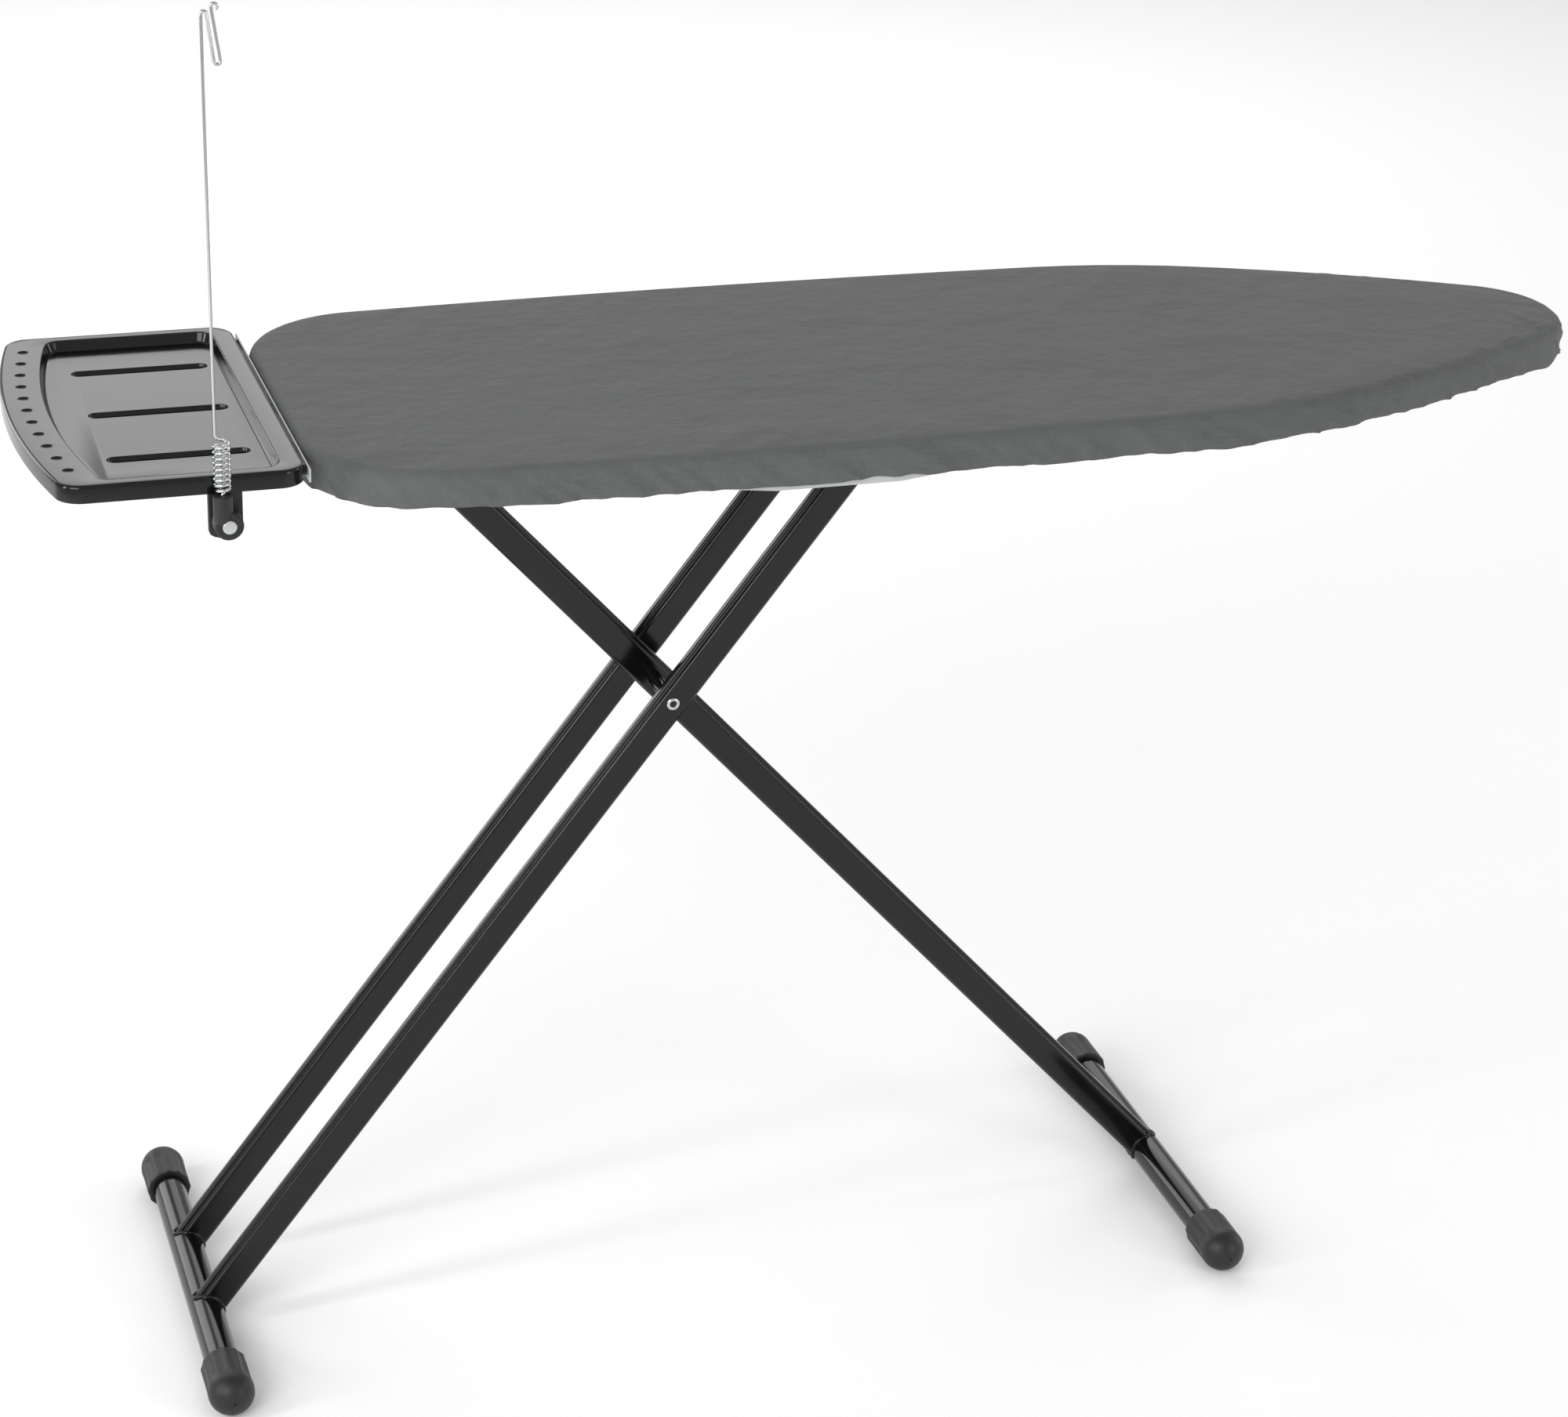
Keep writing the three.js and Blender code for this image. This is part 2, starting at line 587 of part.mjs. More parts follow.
function buildCordBracketBolt() {
  const tongueBottom = PANEL_UNDER - GAP - TONGUE.thickness;
  const head = upright(5, tongueBottom - GAP - 3, tongueBottom - GAP, CORD_PIN.x, TONGUE.bolt, 6);
  const shank = upright(2, tongueBottom - GAP - 1, PANEL_UNDER - GAP, CORD_PIN.x, TONGUE.bolt);
  add("cord_bracket_bolt", join(head, shank), "zincSteel");
}

// Swinging arm: a round boss on the pin and an upright socket for the sprung wire.
const ARM_FACE = { front: CORD_Y - 6, back: BRACKET_Y - GAP };
const SOCKET_DEPTH = 20;

function buildCordArm() {
  const boss = rod(12, ARM_FACE.front, ARM_FACE.back, CORD_PIN.x, CORD_PIN.z);
  const socket = upright(SOCKET_RADIUS, CORD_PIN.z + 2, COIL.z - 2, COIL.x, CORD_Y, 20);
  const pinHole = rod(3.2, ARM_FACE.front - 9, ARM_FACE.back + 1, CORD_PIN.x, CORD_PIN.z);
  const headRoom = rod(7, ARM_FACE.front - 9, ARM_FACE.front, CORD_PIN.x, CORD_PIN.z);
  const wireHole = upright(WIRE_RADIUS + GAP, COIL.z - 2 - SOCKET_DEPTH, COIL.z, COIL.x, CORD_Y);
  add("cord_arm", cut(join(boss, socket), pinHole, headRoom, wireHole), "blackPlastic");
}

function buildCordPin() {
  const head = [[5.8, ARM_FACE.front - GAP], [5.8, ARM_FACE.front - 1.6], [5, ARM_FACE.front - 2.2]];
  add("cord_pin", turned([
    [0, BRACKET_Y + 8],
    [5, BRACKET_Y + 8],
    [5, BRACKET_Y + 6 + GAP],
    [2.9, BRACKET_Y + 6 + GAP],
    [2.9, ARM_FACE.front - GAP],
    ...head,
    [0, ARM_FACE.front - 2.2],
  ], CORD_PIN.x, CORD_PIN.z), "zincSteel");
}

// One steel wire: a tail in the socket, the coil, a straight rod and a folded-over hook.
function buildCordWire() {
  const at = (x, z, y = CORD_Y) => new THREE.Vector3(x, y, z);
  const stepsPerTurn = 12;
  const coilSteps = COIL.turns * stepsPerTurn;
  const coil = Array.from({ length: coilSteps + 1 }, (_, i) => {
    const turn = (i / stepsPerTurn) * 2 * Math.PI;
    const grown = COIL.radius * Math.min(1, (i + 3) / stepsPerTurn);
    return at(COIL.x + grown * Math.cos(turn), COIL.z + COIL.pitch * (i / stepsPerTurn),
      CORD_Y + grown * Math.sin(turn));
  });
  const coilTop = COIL.z + COIL.turns * COIL.pitch;
  const rodX = COIL.x - COIL.radius + 1;
  const rodTop = BOARD_HEIGHT + 381;
  add("cord_wire", wire([
    at(COIL.x, COIL.z - SOCKET_DEPTH),
    at(COIL.x, COIL.z - 1.5),
    ...coil,
    at(COIL.x + 2, coilTop + 2.4, CORD_Y + 3.4),
    at(rodX + 1, coilTop + 5),
    at(rodX, coilTop + 8),
    at(rodX, rodTop - 3),
    ...hookPath(rodX, rodTop),
  ], WIRE_RADIUS), "zincSteel");
}

// Down from the rod's top to a U-turn, back up, and a small closed eye at the end.
function hookPath(rodX, rodTop) {
  const bend = (x, z, radius, from, to, steps) => Array.from({ length: steps + 1 }, (_, i) => {
    const angle = from + (to - from) * (i / steps);
    return new THREE.Vector3(x + radius * Math.cos(angle), CORD_Y, z + radius * Math.sin(angle));
  });
  const topRadius = 2.2;
  const foot = { x: rodX + 11.5, z: rodTop - 37, radius: 2.6 };
  const eye = { x: rodX + 10.2, z: rodTop + 5.5, radius: 2.4 };
  return [
    ...bend(rodX + topRadius, rodTop, topRadius, Math.PI, 0.12 * Math.PI, 6),
    ...bend(foot.x, foot.z, foot.radius, -0.95 * Math.PI, 0.05 * Math.PI, 6),
    ...bend(eye.x, eye.z, eye.radius, Math.PI, -0.35 * Math.PI, 8),
  ];
}

// ---------------------------------------------------------------- foot bars and caps

function buildFootBar(name, foot) {
  const half = FOOT_WIDTH / 2 - CAP_RADIUS - 1.5;
  add(name, pipe(FOOT_TUBE_RADIUS, FOOT_TUBE_RADIUS - TUBE_WALL, -half, half, foot.x, foot.z), "blackSteel");
}

// Fluted plastic sleeve with a domed end, pushed over the end of a foot bar.
function buildFootCap(name, foot, side) {
  const barrel = 43;
  const dome = 20;
  const flutes = 12;
  const fluteDepth = 1.1;
  const points = flutes * 3;
  const mouth = FOOT_WIDTH / 2 - dome - barrel;
  const ring = (radius, out, fluting) => Array.from({ length: points }, (_, i) => {
    const angle = (i / points) * 2 * Math.PI - Math.PI / 2;
    const wave = 0.5 - 0.5 * Math.cos(flutes * (angle + Math.PI / 2));
    const r = radius - fluting * fluteDepth * wave;
    const [across, up] = [r * Math.cos(angle), r * Math.sin(angle)];
    return new THREE.Vector3(foot.x + across, side * (mouth + out), foot.z + up);
  });
  const bore = FOOT_TUBE_RADIUS + GAP;
  const domeRings = [0.33, 0.66, 0.9].map((share) => {
    const angle = share * Math.PI / 2;
    return ring(CAP_RADIUS * Math.cos(angle), barrel + dome * Math.sin(angle), 0);
  });
  add(name, loft([
    ring(bore, barrel - 1, 0),
    ring(bore, 0, 0),
    ring(CAP_RADIUS - 2, 0, 0.3),
    ring(CAP_RADIUS, 2.5, 0.8),
    ring(CAP_RADIUS, barrel - 9, 1),
    ring(CAP_RADIUS, barrel - 1, 0),
    ...domeRings,
  ]), "blackPlastic");
}

// ---------------------------------------------------------------- leg tubes

// Section of a leg tube: a flat box with a narrow rib on its upper edge, set in by the
// given amount. X is across the depth towards the rib, Y across the thickness.
function legSection(inset) {
  const low = -LEG_DEPTH / 2 + inset;
  const high = LEG_DEPTH / 2 - inset;
  const shoulder = high - RIB_HEIGHT;
  const half = LEG_THICKNESS / 2 - inset;
  const rib = RIB_WIDTH / 2 - inset;
  const big = 6 - inset;
  const small = 2;
  const shape = new THREE.Shape();
  shape.moveTo(low + big, -half);
  shape.lineTo(shoulder - small, -half);
  shape.absarc(shoulder - small, -half + small, small, -Math.PI / 2, 0);
  shape.lineTo(shoulder, -rib);
  shape.lineTo(high - small, -rib);
  shape.absarc(high - small, -rib + small, small, -Math.PI / 2, 0);
  shape.absarc(high - small, rib - small, small, 0, Math.PI / 2);
  shape.lineTo(shoulder, rib);
  shape.absarc(shoulder - small, half - small, small, 0, Math.PI / 2);
  shape.lineTo(low + big, half);
  shape.absarc(low + big, half - big, big, Math.PI / 2, Math.PI);
  shape.absarc(low + big, -half + big, big, Math.PI, Math.PI * 1.5);
  return shape;
}

// Hollow leg from a foot bar up to its top axle, rib upwards, coped round the bar and
// drilled for the given axles.
function legTube(foot, top, y, axles) {
  const length = distance(foot, top) + LEG_END;
  const section = legSection(0);
  section.holes.push(new THREE.Path(legSection(TUBE_WALL).getPoints(2).reverse()));
  const tube = new THREE.ExtrudeGeometry(section, { depth: length, bevelEnabled: false, curveSegments: 2 });
  const rise = Math.atan2(top.z - foot.z, top.x - foot.x);
  const along = new THREE.Vector3(Math.cos(rise), 0, Math.sin(rise));
  const lean = Math.sign(along.x);
  const up = new THREE.Vector3(-lean * along.z, 0, lean * along.x);
  tube.applyMatrix4(new THREE.Matrix4().makeBasis(up, new THREE.Vector3(0, -lean, 0), along));
  tube.translate(foot.x, y, foot.z);
  const cope = rod(FOOT_TUBE_RADIUS + GAP, y - 20, y + 20, foot.x, foot.z);
  const holes = axles.map(({ radius, x, z }) => rod(radius + GAP, y - 20, y + 20, x, z, 24));
  return cut(tube, cope, ...holes);
}

const PIVOT_AXLE = { radius: 4, ...CROSSING };
const HINGE_AXLE = { radius: 5, ...LEG_HINGE };
const SLIDE_AXLE = { radius: 8, ...LEG_SLIDE };
const INNER_FACE = LEG_THICKNESS / 2;
const OUTER_LEG_FACE = { inner: OUTER_LEG_Y - LEG_THICKNESS / 2, outer: OUTER_LEG_Y + LEG_THICKNESS / 2 };

function buildInnerLeg() {
  add("inner_leg", legTube(NOSE_FOOT, LEG_HINGE, 0, [PIVOT_AXLE, HINGE_AXLE]), "blackSteel");
  buildFootBar("nose_foot_bar", NOSE_FOOT);
  eachSide((where, side) => {
    buildFootCap(`nose_foot_cap_${where}`, NOSE_FOOT, side);
    const [y0, y1] = spanY(side, INNER_FACE + GAP, OUTER_LEG_FACE.inner - GAP);
    const spacer = pipe(7, PIVOT_AXLE.radius + GAP, y0, y1, CROSSING.x, CROSSING.z, 24);
    add(`pivot_spacer_${where}`, spacer, "blackSteel");
  });
}

function buildOuterLegs() {
  buildFootBar("tail_foot_bar", TAIL_FOOT);
  eachSide((where, side) => {
    const leg = legTube(TAIL_FOOT, LEG_SLIDE, side * OUTER_LEG_Y, [PIVOT_AXLE, SLIDE_AXLE]);
    add(`outer_leg_${where}`, leg, "blackSteel");
    buildFootCap(`tail_foot_cap_${where}`, TAIL_FOOT, side);
    buildGlide(where, side);
  });
  const reach = RAIL.y + RAIL.depth - RAIL.wall - 4;
  const axle = pipe(SLIDE_AXLE.radius, SLIDE_AXLE.radius - TUBE_WALL, -reach, reach, LEG_SLIDE.x, AXLE_Z, 24);
  add("slide_axle", axle, "zincSteel");
  buildPivotRivet();
}

// Hollow rivet with rolled heads, through all three legs and the spacers.
function buildPivotRivet() {
  const bore = 2.7;
  const head = 5.8;
  const face = OUTER_LEG_FACE.outer + GAP;
  const half = [
    [PIVOT_AXLE.radius, face],
    [head, face],
    [head, face + 0.6],
    [head - 1, face + 1.2],
    [bore, face + 1.2],
  ];
  const mirrored = half.map(([r, y]) => [r, -y]).reverse();
  add("pivot_rivet", turned([...mirrored, ...half, mirrored[0]], CROSSING.x, CROSSING.z, 24), "zincSteel");
}

// ---------------------------------------------------------------- slide rails and hinge bracket

const GLIDE_RADIUS = 13;
const RAIL = { y: OUTER_LEG_FACE.outer + 4, depth: 22, wall: 1.5, top: 2, lift: 0.6 };

// Channel open towards the centre plane; the glides run on its lower flange.
function buildSlideRail(where, side) {
  const [inner, outer] = [side * RAIL.y, side * (RAIL.y + RAIL.depth)];
  const web = outer - side * RAIL.wall;
  const top = DECK_UNDER - GAP;
  const floor = AXLE_Z - GLIDE_RADIUS - RAIL.lift;
  const channel = lengthwiseBar([
    [inner, top],
    [outer, top],
    [outer, floor - RAIL.wall],
    [inner, floor - RAIL.wall],
    [inner, floor],
    [web, floor],
    [web, top - RAIL.top],
    [inner, top - RAIL.top],
  ], LEG_SLIDE.x - 30, FOLDED_SLIDE_X + 22);
  add(`slide_rail_${where}`, channel, "greySteel");
}

// Round plastic end that rides in the rail, pushed over the slide axle.
function buildGlide(where, side) {
  const start = side * (RAIL.y + 3);
  const end = side * (RAIL.y + RAIL.depth - RAIL.wall - 1.5);
  const bore = SLIDE_AXLE.radius + GAP;
  const glide = turned([
    [bore, start],
    [GLIDE_RADIUS - 1, start],
    [GLIDE_RADIUS, start + side],
    [GLIDE_RADIUS, end - side],
    [GLIDE_RADIUS - 1, end],
    [0, end],
    [0, end - side * 2],
    [bore, end - side * 2],
    [bore, start],
  ], LEG_SLIDE.x, AXLE_Z);
  add(`slide_glide_${where}`, glide, "blackPlastic");
}

// Folded bracket under the deck: a top plate and two ears that hold the hinge pin.
const EAR = { inner: INNER_FACE + 1.6, thickness: 2 };

function buildLegBracket() {
  const top = DECK_UNDER - GAP;
  const earEnd = AXLE_Z - 11;
  const ear = EAR.inner + EAR.thickness;
  const channel = lengthwiseBar([
    [-ear, top],
    [ear, top],
    [ear, earEnd],
    [EAR.inner, earEnd],
    [EAR.inner, top - 1.5],
    [-EAR.inner, top - 1.5],
    [-EAR.inner, earEnd],
    [-ear, earEnd],
  ], LEG_HINGE.x - 24, LEG_HINGE.x + 24);
  const hole = rod(HINGE_AXLE.radius + GAP, -20, 20, LEG_HINGE.x, AXLE_Z, 24);
  const bevels = [-1, 1].map((end) => sidePlate([
    [LEG_HINGE.x + end * 10, earEnd - 1],
    [LEG_HINGE.x + end * 30, earEnd - 1],
    [LEG_HINGE.x + end * 30, top - 4],
    [LEG_HINGE.x + end * 24, top - 4],
  ], -20, 20));
  add("leg_bracket", cut(channel, hole, ...bevels), "greySteel");
}

function buildLegHingePin() {
  const ear = EAR.inner + EAR.thickness + GAP;
  const radius = HINGE_AXLE.radius;
  add("leg_hinge_pin", turned([
    [0, -ear - 2],
    [radius + 1.5, -ear - 2],
    [radius + 2.5, -ear - 1],
    [radius + 2.5, -ear],
    [radius, -ear],
    [radius, ear],
    [radius + 2.5, ear],
    [radius + 2.5, ear + 1],
    [radius + 1.5, ear + 2],
    [0, ear + 2],
  ], LEG_HINGE.x, AXLE_Z, 24), "zincSteel");
}

// ---------------------------------------------------------------- height release

const SHAFT = { x: FOLDED_SLIDE_X + 38, z: AXLE_Z, radius: 5 };
const RACK = { y: -0.5 * OUTER_LEG_Y, thickness: 3 };
const LEVER_REACH = 84; // shaft to the end of the lever
const LEVER_THICKNESS = 3;
const LEVER_HUB = 9; // shaft to the hub's edge
const LEVER_MARGIN = 30; // lever to the board's edge, at the end of the lever
const LEVER_Y = -Math.min(0.34 * BOARD_WIDTH, boardHalfWidthAt(SHAFT.x + LEVER_REACH) - LEVER_MARGIN);
const BEARING_Y = [-0.72 * OUTER_LEG_Y, LEVER_Y + 20];

function buildReleaseShaft() {
  const shaft = rod(SHAFT.radius, LEVER_Y - 4, RACK.y + 6, SHAFT.x, SHAFT.z, 24);
  add("release_shaft", shaft, "zincSteel");
}

// Angle brackets under the deck that carry the shaft.
function buildReleaseBrackets() {
  const top = DECK_UNDER - GAP;
  BEARING_Y.forEach((y, i) => {
    const flange = box(SHAFT.x - 12, SHAFT.x + 12, y, y + 18, top - 1.5, top);
    const ear = box(SHAFT.x - 12, SHAFT.x + 12, y, y + 2, SHAFT.z - 9, top - 1);
    const hole = rod(SHAFT.radius + GAP, y - 3, y + 5, SHAFT.x, SHAFT.z, 24);
    add(`release_bracket_${["inner", "outer"][i]}`, cut(join(flange, ear), hole), "greySteel");
  });
}

// Toothed bar below the slide axle; it swings down to let the axle slide.
function buildHeightRack() {
  const tip = LEG_SLIDE.x - 32;
  const toothTop = AXLE_Z - SLIDE_AXLE.radius - 2 * GAP;
  const root = toothTop - 8;
  const bottom = toothTop - 20;
  const pitch = 28;
  const teeth = Array.from({ length: 6 }, (_, i) => {
    const x = LEG_SLIDE.x - 14 + i * pitch;
    return [[x - 4, toothTop], [x + 4, toothTop], [x + 5, root], [x + pitch - 9, root]];
  }).flat();
  const hubTop = SHAFT.z + 9;
  const bar = sidePlate([
    [tip, bottom],
    [tip, root],
    [LEG_SLIDE.x - 22, root],
    ...teeth,
    [SHAFT.x - 26, root],
    [SHAFT.x - 9, hubTop - 4],
    [SHAFT.x - 4, hubTop],
    [SHAFT.x + 4, hubTop],
    [SHAFT.x + 9, hubTop - 4],
    [SHAFT.x + 9, SHAFT.z - 5],
    [SHAFT.x - 12, bottom],
  ], RACK.y - RACK.thickness / 2, RACK.y + RACK.thickness / 2);
  const bore = rod(SHAFT.radius + GAP, RACK.y - 9, RACK.y + 9, SHAFT.x, SHAFT.z, 24);
  add("height_rack", cut(bar, bore), "zincSteel");
}

// Flat lever on the shaft's outer end, with a plastic grip.
function buildReleaseLever() {
  const reach = SHAFT.x + LEVER_REACH;
  const half = LEVER_THICKNESS / 2;
  const arm = sidePlate([
    [SHAFT.x - LEVER_HUB, SHAFT.z - 7],
    [SHAFT.x - LEVER_HUB, SHAFT.z + 7],
    [SHAFT.x + LEVER_HUB, SHAFT.z + 8],
    [reach, SHAFT.z + 4],
    [reach, SHAFT.z - 4],
    [SHAFT.x + LEVER_HUB, SHAFT.z - 8],
  ], LEVER_Y - half, LEVER_Y + half);
  const bore = rod(SHAFT.radius + GAP, LEVER_Y - 9, LEVER_Y + 9, SHAFT.x, SHAFT.z, 24);
  add("release_arm", cut(arm, bore), "zincSteel");
  const grip = (inset, x) => new Array(16).fill(0).map((_, i) => {
    const angle = (i / 16) * 2 * Math.PI;
    const [out, up] = [(8 - inset) * Math.cos(angle), (7 - inset) * Math.sin(angle)];
    return new THREE.Vector3(x, LEVER_Y + out, SHAFT.z + up);
  });
  const body = loft([grip(2, SHAFT.x + 22), grip(0, SHAFT.x + 26), grip(0, reach + 2), grip(2, reach + 5)]);
  const slot = sidePlate([
    [SHAFT.x + 20, SHAFT.z + 7.6 + GAP],
    [reach + GAP, SHAFT.z + 4 + GAP],
    [reach + GAP, SHAFT.z - 4 - GAP],
    [SHAFT.x + 20, SHAFT.z - 7.6 - GAP],
  ], LEVER_Y - half - GAP, LEVER_Y + half + GAP);
  add("release_grip", cut(body, slot), "blackPlastic");
}

// Torsion spring round the shaft that lifts the rack back.
function buildReleaseSpring() {
  const turns = 4;
  const stepsPerTurn = 10;
  const radius = SHAFT.radius + 2.4;
  const start = LEVER_Y + 34;
  const coil = Array.from({ length: turns * stepsPerTurn + 1 }, (_, i) => {
    const turn = (i / stepsPerTurn) * 2 * Math.PI;
    return new THREE.Vector3(
      SHAFT.x + radius * Math.cos(turn), start + 3 * (i / stepsPerTurn), SHAFT.z + radius * Math.sin(turn));
  });
  const tail = new THREE.Vector3(SHAFT.x + radius, start + 3 * turns, SHAFT.z + 16);
  const foot = new THREE.Vector3(SHAFT.x + radius, start, SHAFT.z - 12);
  add("release_spring", wire([foot, ...coil, tail], 0.9, 5), "zincSteel");
}

// ---------------------------------------------------------------- assembly

buildCover();
buildPad();
buildDeck();
buildTray();
buildTrayMountPlate();
eachSide(buildTrayArm);
eachSide(buildTrayRivet);
eachSide(buildArmBolt);
eachSide(buildSlideRail);
buildLegBracket();
buildLegHingePin();
buildReleaseBrackets();
buildReleaseSpring();
buildCordBracket();
buildCordBracketBolt();
buildCordPin();
buildCordArm();
buildCordWire();
buildInnerLeg();
buildOuterLegs();
buildReleaseShaft();
buildHeightRack();
buildReleaseLever();

export default group;
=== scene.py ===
"""Folding ironing board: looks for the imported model, laid out as an add-on."""

import json
import math

import bmesh
import bpy
from bpy.props import FloatProperty, FloatVectorProperty, IntProperty, PointerProperty
from mathutils import Matrix, Vector, noise

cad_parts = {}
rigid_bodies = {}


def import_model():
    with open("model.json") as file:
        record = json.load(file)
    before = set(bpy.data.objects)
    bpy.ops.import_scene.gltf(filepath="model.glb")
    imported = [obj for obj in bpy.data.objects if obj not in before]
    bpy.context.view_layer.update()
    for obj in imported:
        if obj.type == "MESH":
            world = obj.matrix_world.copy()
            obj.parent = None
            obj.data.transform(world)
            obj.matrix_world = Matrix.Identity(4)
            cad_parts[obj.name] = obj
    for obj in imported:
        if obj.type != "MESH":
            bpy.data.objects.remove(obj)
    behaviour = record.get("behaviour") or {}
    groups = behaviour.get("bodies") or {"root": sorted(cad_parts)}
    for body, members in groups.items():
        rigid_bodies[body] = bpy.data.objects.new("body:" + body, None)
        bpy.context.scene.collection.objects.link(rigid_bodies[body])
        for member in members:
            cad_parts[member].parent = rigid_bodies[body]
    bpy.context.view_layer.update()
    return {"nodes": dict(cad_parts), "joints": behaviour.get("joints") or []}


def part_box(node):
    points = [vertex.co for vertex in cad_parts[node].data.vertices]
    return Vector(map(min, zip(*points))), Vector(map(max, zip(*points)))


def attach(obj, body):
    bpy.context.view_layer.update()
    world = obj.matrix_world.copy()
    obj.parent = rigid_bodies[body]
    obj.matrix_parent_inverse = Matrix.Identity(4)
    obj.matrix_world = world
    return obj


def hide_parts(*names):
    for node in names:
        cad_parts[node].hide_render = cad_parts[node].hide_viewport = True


for leftover in list(bpy.data.objects):
    bpy.data.objects.remove(leftover)
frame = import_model()

bl_info = {
    "name": "Folding ironing board",
    "version": (1, 0, 0),
    "blender": (4, 5, 0),
    "location": "3D View > Sidebar > Ironing board",
    "description": "Builds the cover, iron rest, cord holder, legs and feet of an ironing board",
    "category": "Object",
}

MM = 0.001
FULL_TURN = 2 * math.pi
X = Vector((1, 0, 0))
Y = Vector((0, 1, 0))
Z = Vector((0, 0, 1))


def linear(hex_colour):
    """Linear red, green and blue of an sRGB hex colour."""
    shares = [int(hex_colour[k:k + 2], 16) / 255 for k in (1, 3, 5)]
    return tuple(s / 12.92 if s <= 0.04045 else ((s + 0.055) / 1.055) ** 2.4 for s in shares)


def joint_point(name):
    """Where a joint of the frame stands at rest."""
    return Vector(next(j["pos_m"] for j in frame["joints"] if j["name"] == name))


def smooth_step(share):
    share = max(0.0, min(1.0, share))
    return share * share * (3 - 2 * share)


# ---------------------------------------------------------------- places taken from the frame

BOARD_LOW, BOARD_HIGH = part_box("cover")
BOARD_LENGTH = BOARD_HIGH.x - BOARD_LOW.x
BOARD_WIDTH = BOARD_HIGH.y - BOARD_LOW.y
BOARD_TOP = BOARD_HIGH.z
HEM_LEVEL = BOARD_LOW.z
RIM_BOTTOM = HEM_LEVEL + 6 * MM

TRAY_LOW, TRAY_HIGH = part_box("tray")
TRAY_TOP = TRAY_HIGH.z
TRAY_WIDTH = TRAY_HIGH.y - TRAY_LOW.y

CROSSING = joint_point("leg_cross")
LEG_HINGE = joint_point("leg_fold")
CORD_PIN = joint_point("cord_swing")


def middle_of(node):
    low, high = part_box(node)
    return (low + high) / 2


# ---------------------------------------------------------------- settings a user may change


class IroningBoardSettings(bpy.types.PropertyGroup):
    cover_colour: FloatVectorProperty(
        name="Cover", description="Colour of the cotton cover", subtype="COLOR", size=3,
        min=0, max=1, default=linear("#5b5d5c"))
    steel_colour: FloatVectorProperty(
        name="Legs and iron rest", description="Colour of the powder coat", subtype="COLOR", size=3,
        min=0, max=1, default=linear("#0c0d0e"))
    deck_colour: FloatVectorProperty(
        name="Deck", description="Colour of the pressed steel top", subtype="COLOR", size=3,
        min=0, max=1, default=linear("#b4b6b6"))
    plastic_colour: FloatVectorProperty(
        name="Feet and cord holder", description="Colour of the moulded plastic", subtype="COLOR",
        size=3, min=0, max=1, default=linear("#151617"))
    pucker_height: FloatProperty(
        name="Pucker height", description="How far the gathered skirt stands off the rim",
        unit="LENGTH", min=0, max=0.008, default=0.0055)
    hem_wave: FloatProperty(
        name="Hem wave", description="How far the hem rises and falls", unit="LENGTH",
        min=0, max=0.008, default=0.0028)
    weld_radius: FloatProperty(
        name="Weld bead", description="Radius of the welds at the foot bars", unit="LENGTH",
        min=0.001, max=0.005, default=0.0021)
    flutes: IntProperty(
        name="Flutes", description="Flutes round each foot cap", min=6, max=24, default=12)


# ---------------------------------------------------------------- mesh helpers


def bent_grid(rings, closed=True):
    """A grid whose rows are the given rings of points; a closed one has its seam merged."""
    count = len(rings[0])
    columns = count if closed else count - 1
    bm = bmesh.new()
    bmesh.ops.create_grid(bm, x_segments=columns, y_segments=len(rings) - 1, size=0.5)
    for k, vert in enumerate(bm.verts):
        row, column = divmod(k, columns + 1)
        vert.co = rings[row][column % count]
    bmesh.ops.remove_doubles(bm, verts=bm.verts, dist=1e-7)
    return bm


def close_ends(bm):
    """Fills the open ends of a tube."""
    open_edges = [edge for edge in bm.edges if edge.is_boundary]
    bmesh.ops.holes_fill(bm, edges=open_edges, sides=0)
    face_outwards(bm)
    return bm


def face_outwards(bm):
    bmesh.ops.recalc_face_normals(bm, faces=bm.faces)
    return bm


def turned(profile, centre, axis, steps=64):
    """Body turned about axis through centre; the profile is (radius, distance along) pairs."""
    bm = bmesh.new()
    across = axis.orthogonal().normalized()
    verts = [bm.verts.new(centre + axis * along + across * radius) for radius, along in profile]
    edges = [bm.edges.new(pair) for pair in zip(verts, verts[1:])]
    bmesh.ops.spin(bm, geom=verts + edges, cent=centre, axis=axis, angle=FULL_TURN, steps=steps,
                   use_merge=True)
    bmesh.ops.remove_doubles(bm, verts=bm.verts, dist=1e-6)
    return face_outwards(bm)


def closed_profile(profile):
    return [*profile, profile[0]]


def swept(points, radius, sides=14, cyclic=False, radii=None):
    """Round wire along a list of points, as a mesh with closed ends."""
    curve = bpy.data.curves.new("wire", "CURVE")
    curve.dimensions = "3D"
    curve.bevel_depth = radius
    curve.bevel_resolution = max(1, sides // 4)
    curve.use_fill_caps = True
    spline = curve.splines.new("POLY")
    spline.points.add(len(points) - 1)
    spline.use_cyclic_u = cyclic
    for k, point in enumerate(points):
        spline.points[k].co = (*point, 1)
        spline.points[k].radius = 1 if radii is None else radii[k]
    holder = bpy.data.objects.new("wire", curve)
    bm = bmesh.new()
    bm.from_mesh(holder.to_mesh())
    holder.to_mesh_clear()
    bpy.data.objects.remove(holder)
    bpy.data.curves.remove(curve)
    bmesh.ops.remove_doubles(bm, verts=bm.verts, dist=1e-6)
    return face_outwards(bm)


def bevel_edges(bm, edges, width, segments):
    bmesh.ops.bevel(bm, geom=edges, offset=width, offset_type="OFFSET", segments=segments,
                    profile=0.5, affect="EDGES", clamp_overlap=True, material=-1)


